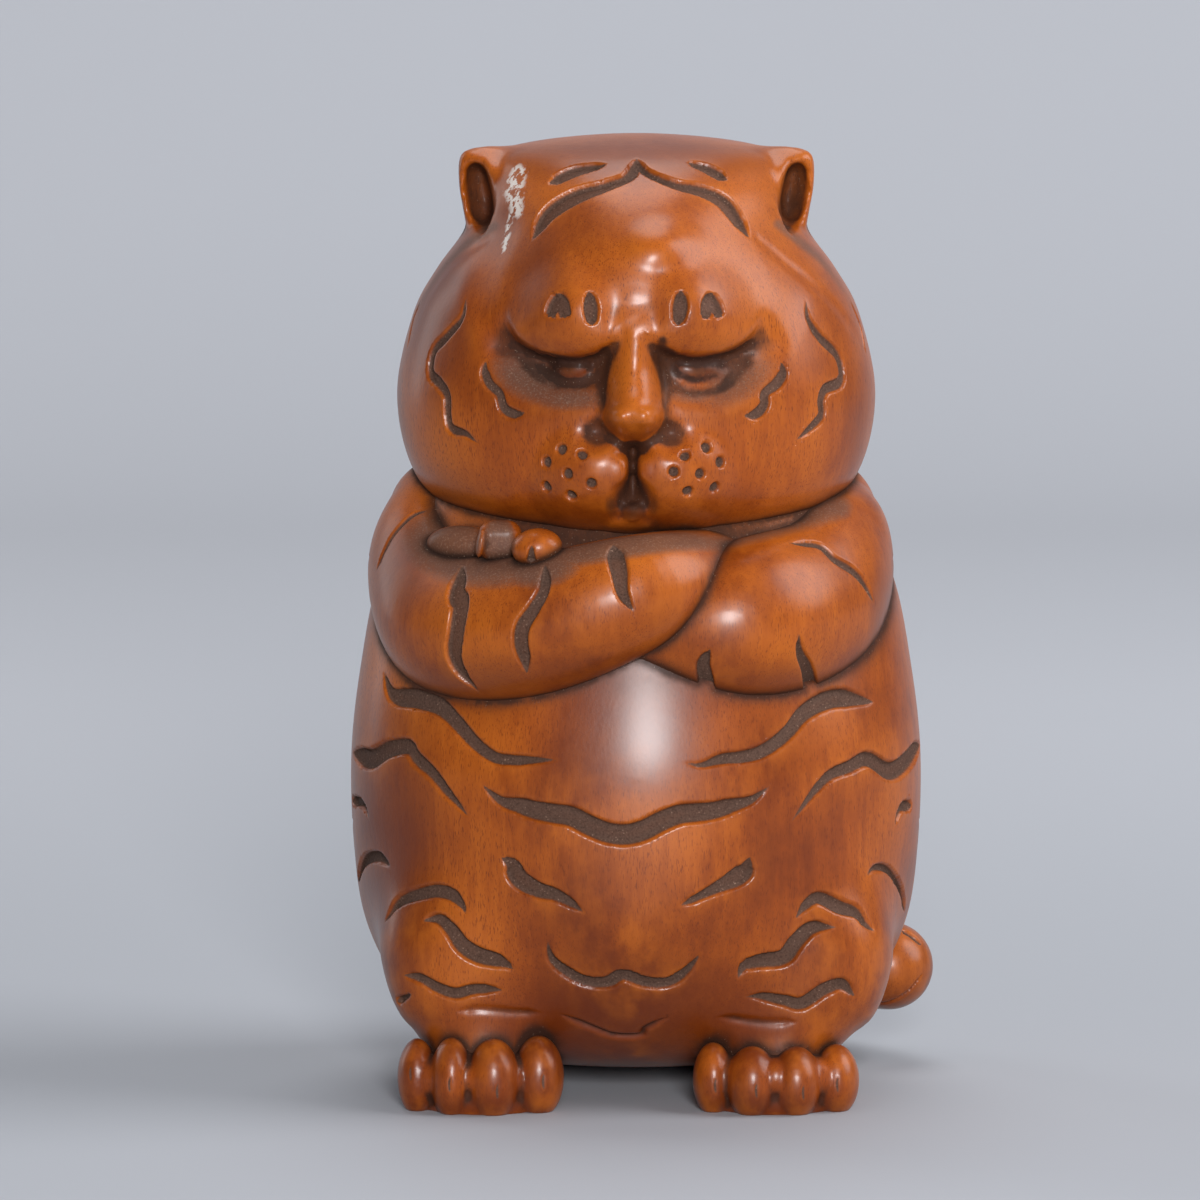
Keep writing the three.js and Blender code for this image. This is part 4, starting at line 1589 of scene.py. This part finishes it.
    ear: tuple[Ball, ...] = (
        (-13.7, -2.6, 77.7, 1.15), (-14.35, -2.6, 76.1, 0.5), (-13.65, -2.8, 72.3, 0.5),
        (-12.6, -2.6, 78.45, 0.6), (-9.2, -1.6, 78.3, 0.8), (-11.9, -4.7, 76.8, 0.6),
        (-11.4, -5.3, 74.6, 0.6), (-11.3, -5.3, 72, 0.6), (-9.2, -4.6, 75, 0.6),
        (-13.2, 1.6, 77.3, 0.9), (-13.2, 2.4, 72, 0.9), (-9.8, 2.6, 77.8, 0.9), (-9.5, 3, 71, 0.9),
    )
    ear_cup: tuple[Ball, ...] = (
        (-14, -7, 78.1, 0.3), (-14.3, -7, 76.2, 0.3), (-13.8, -7, 73.2, 0.3), (-13.3, -7, 72.2, 0.3),
        (-13.1, -7, 78.3, 0.3), (-12.15, -7, 76.3, 0.3), (-11.9, -7, 73.7, 0.3), (-12.3, -7, 72.2, 0.3),
        (-13.8, -2.5, 77.2, 0.3), (-13.9, -2.4, 75.2, 0.3), (-13.4, -2.6, 73.2, 0.3),
        (-13, -1.7, 76.8, 0.4), (-12.5, -1.4, 74.6, 0.4), (-12.5, -2, 73.3, 0.4),
    )
    ear_root: Ball = (9, -1.5, 77.6, 3.6)
    ear_root_passes: int = 30
    stains_and_shade: tuple[StainAndShade, ...] = (
        # Painted shade under the brows and lids, beside and under the nose, and in the mouth.
        (Mark.CREASE, (
            Fold(((513, 345), (545, 356), (580, 363), (606, 358)),
                 (8, 12, 14, 14), (0.6, 1.0, 1.1, 1.0), 0.8),
            Fold(((540, 368), (556, 379), (578, 383), (600, 376)), (8, 10, 10), (0.7, 0.8, 0.8), 0.8),
            Fold(((752, 343), (720, 357), (690, 362), (663, 350)),
                 (8, 11, 13, 14), (0.6, 1.0, 1.1, 1.0), 0.8),
            Fold(((668, 362), (676, 372), (694, 379), (716, 376)), (8, 9, 7), (0.8, 0.8, 0.6), 0.8),
            Fold(((604, 352), (603, 380), (606, 405)), (14, 14, 8), (0.9, 0.5, 0.1), 1),
            Fold(((663, 340), (664, 366), (664, 390)), (13, 13, 8), (0.9, 0.5, 0.1), 1),
            Fold(((609, 438), (634, 450), (659, 438)), (8, 14, 8), (0.8, 1.2, 0.8), 0.8),
            Fold(((633, 450), (633, 478)), (12, 12), (1.2, 1.2), 0.7),
            Fold(((633, 478), (633, 488), (633, 497)), (10, 26, 42), (1.2, 1.2, 1.0), 0.7),
        )),
        # Painted shade on the lip, on the eyes under the brows and at the mouth's corners.
        (Mark.CREASE, blots((633, 513, 14, 10, 0.6), (570, 367, 18, 10, 0.6), (701, 369, 25, 12, 0.6),
                            edge=0.6)),
        (Mark.CREASE, blots((611, 505, 8, 14, 0.6), (654, 505, 8, 14, 0.6), edge=0.8)),
        # Painted shade on the head's sides, under the eyes and under the chin.
        (Mark.DEEP, blots(
            (436, 300, 46, 140, 1), (534, 262, 44, 64, 0.8), (500, 215, 34, 60, 0.8),
            (450, 500, 70, 46, 0.6), (640, 520, 120, 26, 0.7), (556, 400, 90, 44, 0.6),
            (716, 396, 80, 38, 0.5), (590, 226, 80, 40, 0.5), (862, 420, 26, 110, 0.6),
        )),
        # Darker along the crown.
        (Mark.DEEP, blots((636, 150, 190, 44, 1), edge=0.8)),
        # Painted shade on the eyes and the lip.
        (Mark.DEEP, blots((570, 367, 24, 14, 1.6), (701, 369, 32, 16, 1.6), (633, 513, 14, 12, 1.6),
                          edge=0.5)),
        # Painted glints on a worn patch beside the ear.
        (Mark.CHIP, (
            Fold(((519, 172), (514, 190), (517, 212)), (16, 20, 12), (1, 1, 1), 0.3),
            Fold(((511, 214), (508, 232), (504, 250)), (5, 6, 4), (1, 1, 1), 0.3),
        )),
        (Mark.ROUGH, blots(
            (480, 192, 19, 40, 0.3), (796, 188, 19, 38, 0.3), (570, 398, 44, 15, 0.9),
            (694, 396, 34, 9, 0.7), edge=0.8,
        )),
        (Mark.ROUGH, blots((599, 437, 18, 17, 0.3), (672, 439, 16, 16, 0.25))),
        (Mark.ROUGH, (
            Swell((530, 378), (46, 26), 1, turn=24, edge=0.7),
            Swell((738, 380), (48, 25), 0.8, turn=-30, edge=0.7),
            Fold(((494, 226), (472, 240), (450, 258), (430, 284), (418, 306)),
                 (14, 12, 8), (0.8, 0.8, 0.6), 1),
            Fold(((778, 224), (800, 242), (824, 262), (846, 290), (857, 310)),
                 (14, 12, 8), (0.8, 0.8, 0.6), 1),
        )),
    )

    def relief(self, across: np.ndarray, down: np.ndarray) -> np.ndarray:
        """Works out the face over the bare skull.

        Args:
            across: columns of the photograph.
            down: its rows.

        Returns:
            Heights in millimetres.
        """
        def total(forms: Sequence[Swell | Fold]) -> np.ndarray:
            """Adds up some forms."""
            return sum(form.rise(across, down) for form in forms)

        brow = [ramp(brow.inside(across, down), 0, self.brow_edge) for brow in self.brows]
        eyes = (*self.sockets, *self.eyeballs, *self.lids)
        face = (*self.forehead, *self.brows, *self.valleys, *self.muzzle, *self.nose, *self.recesses)
        lips = (*self.philtrum, self.mouth, self.lip, self.chin)
        return total(face) + total(eyes) * (1 - np.maximum.reduce(brow)) + total(lips)

    def build(self) -> Skin:
        """Builds the face, not yet cut."""
        skin = Skin("head")
        ears = [hull(self.ear, -side) for side in (-1, 1)]
        cups = [hull(self.ear_cup, -side) for side in (-1, 1)]
        skin.fuse([SKULL.build(192, 128)] + ears, self.voxel, cups)
        skin.relax(2)
        out, back, up, radius = self.ear_root
        skin.soften([(Vector((side * out, back, up)), radius) for side in (-1, 1)], self.ear_root_passes)
        skin.sculpt(self.relief)
        skin.even(self.voxel)
        skin.relax(2)
        return skin

    def carve(self, skin: Skin) -> None:
        """Cuts the marks of the face and the stripes, and paints rough patches, darker wood, painted shade
        and painted glints on the skin.

        Args:
            skin: the face, not yet cut.
        """
        size, depth = self.whisker_size, self.whisker_depth
        dots = tuple(Cut((place,), (size,), depth, taper=0) for place in self.whiskers)
        skin.carve(
            [
                (PICTURE, self.brow_marks + self.cheek_marks + dots),
                (Side(180), both(self.nape_marks)),
                *flanks(self.temple_marks),
                (Side(0, 90), both(self.crown_marks)),
            ],
            self.finest,
        )
        skin.stain_and_shade(self.stains_and_shade)


@dataclass
class Arms:
    """The crossed forearms and the paw that lies on the right one.

    Args:
        shoulder: height of the shoulders.
        elbow: height of the elbows.
        crossing: height at which the arms cross.
        upper: half thickness of the upper arms.
        fore: half thickness of the forearms.
        wrist: half thickness at the wrists.
        proud: how far the arms stand out of the chest.
        paw_width: the paw's width.
        paw_height: its height.
        paw_offset: how far to the right it lies.
        paw_proud: how far its seat stands out over the arms.
        thumb: the thumb's column and row, and how far it lies behind the seat; the next three likewise.
        block: the squared part beside it.
        back: the back of the paw.
        finger: the finger that shows between them.
        voxel: the arms' grid.
        finest: their edge length near cuts.
        paw_voxel: the paw's grid.
        paw_finest: its edge length near cuts.
    """

    shoulder: float = 47.5
    elbow: float = 40
    crossing: float = 43.8
    upper: float = 5.6
    fore: float = 5.9
    wrist: float = 4.2
    proud: float = 1.6
    paw_width: float = 4.2
    paw_height: float = 3.8
    paw_offset: float = 7.4
    paw_proud: float = 1.6
    thumb: tuple[float, float, float] = (537, 548, 0.7)
    block: tuple[float, float, float] = (499, 541, 3.2)
    back: tuple[float, float, float] = (464, 546, 6.7)
    finger: tuple[float, float, float] = (481, 543, 2.2)
    voxel: float = 0.3
    finest: float = 0.2
    paw_voxel: float = 0.18
    paw_finest: float = 0.12
    right_stripes: tuple[Cut, ...] = (
        Cut(((462, 566), (455, 593), (459, 603), (455, 631), (453, 656), (462, 675), (478, 691)),
            (12, 19, 22, 20, 19, 15, 8), 0.55),
        Cut(((545, 565), (543, 589), (533, 608), (522, 626), (520, 643), (524, 660), (527, 674)),
            (11, 12, 13, 15, 14, 9), 0.5),
        Cut(((613, 545), (619, 570), (623, 593), (634, 612)), (15, 18, 13, 5), 0.5),
        Cut(((430, 510), (413, 515), (395, 532), (384, 551), (375, 574)), (4, 6, 6, 4), 0.25),
    )
    left_stripes: tuple[Cut, ...] = (
        Cut(((788, 543), (818, 545), (835, 559), (854, 571), (866, 585), (874, 603)), (6, 9, 10, 9, 5), 0.4),
        Cut(((711, 648), (703, 665), (706, 682), (708, 697)), (5, 14, 14, 11), 0.45),
        Cut(((799, 632), (801, 653), (808, 670), (812, 694)), (4, 11, 14, 10), 0.45),
    )
    paw_marks: tuple[Cut, ...] = (
        Cut(((532, 545), (531, 553), (531, 563)), (3, 7, 10), 0.3),
    )
    shoulder_stripes: tuple[Cut, ...] = (
        Cut(((-4, 45), (-0.5, 43.2), (3, 44.4)), (0.7, 1.1, 0.6), 0.4),
        Cut(((-5, 40.6), (-1.5, 39), (1.5, 40.4)), (0.7, 1.1, 0.6), 0.4),
    )
    right_stains_and_shade: tuple[StainAndShade, ...] = (
        # Painted shade on the arm's outer end and along its lower edge.
        (Mark.DEEP, blots((396, 566, 38, 60, 1), (500, 684, 130, 40, 0.8), (650, 610, 60, 40, 0.5))),
        (Mark.ROUGH, (
            Swell((480, 545), (84, 46), 1.4, turn=4, edge=0.6),
            Swell((535, 560), (50, 30), 1.3, edge=0.6),
            Fold(((556, 552), (610, 546), (670, 541), (722, 543)),
                 (42, 36, 28, 20), (1.3, 1.3, 1.2, 0.8), 0.9),
        )),
    )
    left_stains_and_shade: tuple[StainAndShade, ...] = (
        # Painted shade along the arm's lower edge and its outer side.
        (Mark.DEEP, blots((760, 690, 130, 36, 0.8), (880, 610, 16, 70, 0.8))),
        (Mark.ROUGH, (Fold(((736, 532), (790, 520), (840, 508)), (36, 34, 30), (1.1, 1.0, 0.9), 0.9),)),
    )
    paw_stains: tuple[StainAndShade, ...] = (
        (Mark.ROUGH, blots((499, 541, 17, 27, 1.4), (455, 541, 28, 32, 1.4), edge=0.4)),
    )

    def _build(self, name: str, stops: Sequence[tuple[float, float, float, float, float]]) -> Skin:
        """Builds an arm from stops round the torso.

        Args:
            name: the piece's name.
            stops: angle round the torso, height, lift off its skin and the two half thicknesses of each.

        Returns:
            The smooth arm.
        """
        skin = Skin(name)
        line = tuple((TORSO.at(*place), out, tall) for *place, out, tall in stops)
        skin.fuse([Limb(line).build(64, 96)], self.voxel)
        skin.relax(2)
        return skin

    def build_right(self) -> Skin:
        """Builds the arm that lies in front."""
        middle = (self.shoulder + self.elbow) / 2
        return self._build("arm_right", (
            (178, self.shoulder, self.proud - self.upper, 0.9 * self.upper, self.upper),
            (197, middle, self.proud - 0.95 * self.upper, self.upper, 1.1 * self.upper),
            (222, self.elbow, self.proud - 0.7 * self.fore, self.fore, 1.1 * self.fore),
            (247, self.elbow + 0.4, self.proud - 0.3 * self.fore, 0.95 * self.fore, self.fore),
            (270, self.crossing - 0.5, self.proud - 0.15, 1.1 * self.wrist, 1.15 * self.wrist),
            (294, self.crossing + 1.2, self.proud - 1.2 * self.wrist, 0.8 * self.wrist, 0.75 * self.wrist),
        ))

    def build_left(self) -> Skin:
        """Builds the arm that goes behind."""
        middle = (self.shoulder + self.elbow) / 2
        return self._build("arm_left", (
            (2, self.shoulder, self.proud - 1.1 * self.upper, 0.9 * self.upper, self.upper),
            (-17, middle + 0.3, self.proud - 1.1 * self.upper, self.upper, 1.3 * self.upper),
            (-42, self.elbow + 1.2, self.proud - 0.87 * self.fore, self.fore, 1.25 * self.fore),
            (-66, self.elbow + 0.4, self.proud - 0.6 * self.fore, self.fore, 1.15 * self.fore),
            (-90, self.elbow, self.proud - 0.8 * self.fore, self.wrist, self.wrist),
        ))

    def build_paw(self) -> Skin:
        """Builds the end of the left arm, which shows on the right one."""
        skin = Skin("paw_left")
        seat = TORSO.front_at(-self.paw_offset, self.crossing, self.proud + self.paw_proud)
        thumb, block, back, finger = (
            PICTURE.spot(column, row, seat.y + behind)
            for column, row, behind in (self.thumb, self.block, self.back, self.finger)
        )
        width, height = self.paw_width, self.paw_height
        balls = [
            (block.x + across, block.y, block.z + rise, 1.2)
            for across in (-0.5, 0.7)
            for rise in (-0.5, 0.5)
        ]
        skin.fuse([
            egg((width, 0.9 * width, 0.85 * height), thumb, lean=-6),
            hull(balls),
            egg((1.7 * width, 0.9 * width, 0.9 * height), back, turn=-34),
            egg((0.8, 2, 2.4), finger, lean=10),
        ], self.paw_voxel)
        skin.relax(2)
        return skin

    def carve(self, right: Skin, left: Skin, paw: Skin) -> None:
        """Cuts the stripes and the paw's marks, and paints rough patches, darker wood and painted shade on
        the skins.

        Args:
            right: the smooth right arm.
            left: the smooth left arm.
            paw: the smooth paw.
        """
        on_left, on_right = flanks(self.shoulder_stripes)
        right.carve([(PICTURE, self.right_stripes), on_right], self.finest)
        left.carve([(PICTURE, self.left_stripes), on_left], self.finest)
        paw.carve([(PICTURE, self.paw_marks)], self.paw_finest)
        right.stain_and_shade(self.right_stains_and_shade)
        left.stain_and_shade(self.left_stains_and_shade)
        paw.stain_and_shade(self.paw_stains)


@dataclass
class Foot:
    """One foot: an instep, knuckles and four round toes, each with a small claw.

    Args:
        side: 1 for the left foot, -1 for the right.
        toes: the columns of each toe's sides, and the rows of its top and bottom.
        claws: the column and row of each claw.
        length: the instep's length.
        width: its width.
        height: its height.
        forward: how far it is pushed towards the toes.
        toe_length: how far the toes reach back from their fronts.
        toe_depth: the part of that which shows.
        toe_proud: how far their line stands in front of the ankle.
        toe_curve: how strongly the outer toes stand back.
        plump: how much wider a toe is than it shows between its neighbours.
        tall: a toe's height, as a share of its crown's.
        sunk: its middle's height, as a share of its crown's.
        knuckles: balls, placed from the foot's middle, the toes' line and the ground.
        voxel: the skin's grid.
        finest: its edge length near cuts.
    """

    side: int
    toes: tuple[tuple[float, float, float, float], ...]
    claws: tuple[tuple[float, float], ...]
    length: float = 14
    width: float = 12.6
    height: float = 5.4
    forward: float = 0.8
    toe_length: float = 6.5
    toe_depth: float = 5
    toe_proud: float = 2.1
    toe_curve: float = 1.6
    plump: float = 1.12
    tall: float = 1.08
    sunk: float = 0.44
    knuckles: tuple[Ball, ...] = ((0, -0.9, 3.0, 1.75), (-4.4, 0.5, 2.8, 1.75), (4.4, 0.5, 2.8, 1.75))
    voxel: float = 0.2
    finest: float = 0.12

    @property
    def name(self) -> str:
        """The piece's name."""
        return "foot_left" if self.side > 0 else "foot_right"

    def build(self, trunk: Trunk) -> Skin:
        """Builds the foot under its ankle.

        Args:
            trunk: the body that it belongs to.

        Returns:
            The smooth foot.
        """
        ankle = trunk.leg_stops(self.side)[0][0]
        toe_line = ankle.y - trunk.ankle - self.toe_proud + self.toe_length / 2
        middle = ankle.x
        instep = Vector((middle, toe_line + self.length / 2 - self.toe_length * 0.2, self.height * 0.28))
        instep = instep + Vector((0, -self.forward, 0))
        forms = [egg((self.width, self.length, self.height * 1.8), instep)]
        for left, right, top, bottom in self.toes:
            column = (left + right) / 2
            offset = (column - PICTURE.axis_column) / PICTURE.scale - middle
            deep = toe_line + (offset / self.width) ** 2 * self.toe_length * self.toe_curve
            front = deep - self.toe_length / 2
            crown = PICTURE.spot(column, top, front).z
            size = ((right - left) / PICTURE.scale * self.plump, self.toe_depth, self.tall * crown)
            across = PICTURE.spot(column, bottom, deep).x
            forms.append(egg(size, (across, front + self.toe_depth / 2, self.sunk * crown)))
        forms.append(hull([(middle + x, toe_line + y, z, radius) for x, y, z, radius in self.knuckles]))
        skin = Skin(self.name)
        skin.fuse(forms, self.voxel)
        skin.relax(4)
        skin.flatten()
        return skin

    def carve(self, skin: Skin) -> None:
        """Cuts the claws, and paints shade on the skin above and below the toes.

        Args:
            skin: the smooth foot.
        """
        claws = tuple(
            Cut(((column, row - 8), (column - 1, row), (column, row + 9)), (1.5, 3, 2), 0.12)
            for column, row in self.claws
        )
        skin.carve([(PICTURE, claws)], self.finest)
        middle = (self.toes[0][0] + self.toes[-1][1]) / 2
        # Painted shade above the toes and along their lower ends.
        spots = blots((middle, 1038, 92, 30, 1.5), edge=0.8) + blots((middle, 1106, 92, 16, 1))
        skin.stain_and_shade([(Mark.DEEP, spots)])


@dataclass
class Tail:
    """The thick tail, laid round the left hip.

    Args:
        radius: its usual half thickness.
        height: its middle line's usual height.
        buried: how far its middle line lies under the top of its thickness.
        root: how deep it starts in the back, in radii.
        rings: cuts that the photograph shows.
        back_rings: cuts at the back.
        voxel: the skin's grid.
        finest: its edge length near cuts.
    """

    radius: float = 3.6
    height: float = 7.6
    buried: float = 0.9
    root: float = 1.4
    rings: tuple[Cut, ...] = (
        Cut(((901, 930), (912, 936), (922, 945)), (5, 7, 5), 0.35),
        Cut(((868, 1000), (886, 1003), (908, 992), (924, 972)), (3, 4, 3), 0.3, Carve.VALLEY),
    )
    back_rings: tuple[Cut, ...] = (
        Cut(((-5.6, 12), (-4.6, 9), (-5.2, 4.5)), (0.6, 1.1, 0.6), 0.4),
        Cut(((-11.4, 11.6), (-10.4, 8.4), (-11, 4)), (0.6, 1.1, 0.6), 0.4),
        Cut(((-16.6, 11), (-15.8, 8), (-16.4, 4)), (0.6, 1.1, 0.6), 0.4),
    )
    voxel: float = 0.28
    finest: float = 0.2

    def build(self) -> Skin:
        """Builds the tail."""
        skin = Skin("tail")
        stops = (
            (106, 1.3, 0.9, self.root * self.radius), (84, 1, 0.95, self.buried),
            (58, 0.95, 1, self.buried), (34, 1, 1.05, self.buried), (20, 1.08, 1.05, self.buried),
        )
        line = tuple(
            (TORSO.at(degrees, self.height * rise, self.radius * size - buried), *[self.radius * size] * 2)
            for degrees, rise, size, buried in stops
        )
        skin.fuse([Limb(line).build()], self.voxel)
        skin.relax(2)
        return skin

    def carve(self, skin: Skin) -> None:
        """Cuts the rings."""
        skin.carve([(PICTURE, self.rings), (Side(180), self.back_rings)], self.finest)


@dataclass(frozen=True)
class Studio:
    """Floor, backdrop, lamps and camera.

    Args:
        axis: where the figure's axis meets the ground, in metres.
        sensor: width of the camera's sensor, in millimetres.
        clip: the nearest and the farthest that it sees, in metres.
        near: how far the sheet reaches towards the camera, in metres.
        flat: how far it lies flat behind the figure.
        curve: radius of its bend.
        tall: height of the wall above that.
        half_width: half the sheet's width.
        aim: height above the ground that the lamps face.
        room: strength of the room's light.
        mirrored_room: its strength in reflections.
    """

    axis: Vector
    sensor: float = 36
    clip: tuple[float, float] = (0.05, 20)
    near: float = 0.7
    flat: float = 0.5
    curve: float = 0.3
    tall: float = 1.2
    half_width: float = 1.1
    aim: float = 0.04
    room: float = 0.32
    mirrored_room: float = 0.1

    def camera(self) -> None:
        """Places the camera where the photograph was taken."""
        data = bpy.data.cameras.new("camera")
        data.sensor_width = self.sensor
        data.lens = self.sensor * PICTURE.distance * PICTURE.scale / PICTURE.side
        data.clip_start, data.clip_end = self.clip
        camera = add_object("camera", data)
        camera.location = self.axis + PICTURE.eye() * MILLIMETRE
        camera.rotation_euler = PICTURE.axes()[2].to_track_quat("Z", "Y").to_euler()
        bpy.context.scene.camera = camera

    def backdrop(self) -> None:
        """Makes one sheet that is floor in front and wall behind."""
        form = bmesh.new()
        bmesh.ops.create_grid(form, x_segments=24, y_segments=120, size=1)
        length = self.near + self.flat + self.curve * math.pi / 2 + self.tall
        for vertex in form.verts:
            run = (vertex.co.y + 1) / 2 * length - self.near
            bend = min(max(run - self.flat, 0) / self.curve, math.pi / 2)
            rest = max(run - self.flat - self.curve * math.pi / 2, 0)
            deep = min(run, self.flat) + self.curve * math.sin(bend)
            high = self.curve * (1 - math.cos(bend)) + rest
            vertex.co = Vector((vertex.co.x * self.half_width, deep, high)) + self.axis
        bmesh.ops.recalc_face_normals(form, faces=form.faces)
        mesh = bpy.data.meshes.new("backdrop")
        form.to_mesh(mesh)
        form.free()
        mesh.polygons.foreach_set("use_smooth", [True] * len(mesh.polygons))
        mesh.materials.append(self.paper())
        add_object("backdrop", mesh)

    def paper(self) -> bpy.types.Material:
        """Makes the sheet's material, pale to the camera and grey as a source of bounced light."""
        shader = Shader("pale_sheet")
        path = shader.node("ShaderNodeLightPath").outputs
        seen = Wire(shader, path["Is Camera Ray"]) + Wire(shader, path["Is Glossy Ray"])
        seen = (seen + Wire(shader, path["Is Transmission Ray"])).ramp(0, 1)
        # Paler towards the back: a painted gradient of light along the sheet.
        sheet = shader.mix(shader.along("Y").ramp(0, 300), paint(182, 185, 191), paint(205, 207, 213))
        surface = shader.node(
            "ShaderNodeBsdfPrincipled",
            None,
            {"Base Color": shader.mix(seen, paint(84, 85, 88), sheet), "Roughness": 0.7},
        )
        return shader.close(surface)

    def lamp(
        self,
        name: str,
        spot: tuple[float, float, float],
        size: tuple[float, float],
        power: float,
        tint: tuple[float, float, float],
    ) -> None:
        """Hangs a soft box that faces the figure.

        Args:
            name: its name.
            spot: azimuth and elevation in degrees, and distance in metres.
            size: width and height in metres.
            power: watts.
            tint: its colour.
        """
        data = bpy.data.lights.new(name, "AREA")
        data.shape, data.size, data.size_y = "ELLIPSE", *size
        data.energy, data.color = power, tint
        azimuth, elevation = math.radians(spot[0]), math.radians(spot[1])
        back = Vector((
            math.sin(azimuth) * math.cos(elevation),
            -math.cos(azimuth) * math.cos(elevation),
            math.sin(elevation),
        ))
        lamp = add_object(name, data)
        lamp.location = self.axis + Vector((0, 0, self.aim)) + back * spot[2]
        lamp.rotation_euler = back.to_track_quat("Z", "Y").to_euler()

    def lights(self) -> None:
        """Hangs the lamps and sets the room's grey light."""
        self.lamp("key", (4, 13, 0.75), (0.17, 0.19), 4.6, (0.98, 0.985, 1))
        self.lamp("right_panel", (82, 34, 0.9), (0.6, 0.8), 5.5, (0.97, 0.98, 1))
        self.lamp("left_panel", (-125, 20, 0.9), (0.3, 0.8), 1.1, (0.96, 0.98, 1))
        self.lamp("overhead", (180, 72, 1.2), (0.7, 0.7), 4.5, (0.98, 0.99, 1))
        world = bpy.data.worlds.new("room")
        world.use_nodes = True
        room = world.node_tree.nodes["Background"]
        room.inputs["Color"].default_value = paint(188, 192, 202)
        path = world.node_tree.nodes.new("ShaderNodeLightPath")
        fade = world.node_tree.nodes.new("ShaderNodeMath")
        fade.operation = "MULTIPLY_ADD"
        fade.inputs[1].default_value = self.mirrored_room - self.room
        fade.inputs[2].default_value = self.room
        world.node_tree.links.new(path.outputs["Is Glossy Ray"], fade.inputs[0])
        world.node_tree.links.new(fade.outputs[0], room.inputs["Strength"])
        bpy.context.scene.world = world

    def build(self) -> None:
        """Sets up the whole studio."""
        bpy.context.scene.view_settings.view_transform = "Standard"
        self.camera()
        self.backdrop()
        self.lights()


def main() -> None:
    """Builds the figure and its studio."""
    logging.basicConfig(level=logging.INFO, format="%(name)s: %(message)s")
    axis = figure_axis()
    Studio(axis).build()

    trunk, head, arms, tail = Trunk(), Head(), Arms(), Tail()
    feet = (
        Foot(-1, ((400, 435, 1042, 1094), (433, 471, 1041, 1104), (470, 517, 1042, 1104),
                  (516, 561, 1039, 1098)), ((411, 1073), (450, 1084), (498, 1091), (544, 1081))),
        Foot(1, ((695, 731, 1046, 1103), (729, 775, 1050, 1111), (773, 818, 1050, 1112),
                 (815, 856, 1048, 1103)), ((716, 1085), (757, 1090), (804, 1092), (838, 1084))),
    )
    skins = {
        "trunk": trunk.build(),
        "head": head.build(),
        "arm_right": arms.build_right(),
        "arm_left": arms.build_left(),
        "paw_left": arms.build_paw(),
        "tail": tail.build(),
    }
    skins.update({foot.name: foot.build(trunk) for foot in feet})

    trunk.carve(skins["trunk"])
    head.carve(skins["head"])
    arms.carve(skins["arm_right"], skins["arm_left"], skins["paw_left"])
    tail.carve(skins["tail"])
    for foot in feet:
        foot.carve(skins[foot.name])

    for name, skin in skins.items():
        skin.mark_shape()
        skin.shade_near([other for key, other in skins.items() if key != name])

    finishes = (
        StainedBoxwood("boxwood_polished"),
        StainedBoxwood("boxwood_worn", wear=0.6),
        # A darker copy of the finish for the tail: painted shade on a piece that lies low against the hip.
        StainedBoxwood("boxwood_dark", middle=paint(132, 60, 12)),
    )
    materials = {finish.name: finish.make() for finish in finishes}
    plan = {
        "trunk": ("boxwood_polished", ("torso", "leg_right", "leg_left")),
        "head": ("boxwood_polished", ("head", "ear_right", "ear_left")),
        "arm_right": ("boxwood_worn", ("arm_right",)),
        "arm_left": ("boxwood_worn", ("arm_left",)),
        "paw_left": ("boxwood_worn", ("paw_left",)),
        "tail": ("boxwood_dark", ("tail",)),
        "foot_right": ("boxwood_worn", ("foot_right",)),
        "foot_left": ("boxwood_worn", ("foot_left",)),
    }
    for name, (slot, nodes) in plan.items():
        piece = skins[name].finish(axis, materials[slot])
        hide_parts(*nodes)


if __name__ == "__main__":
    main()
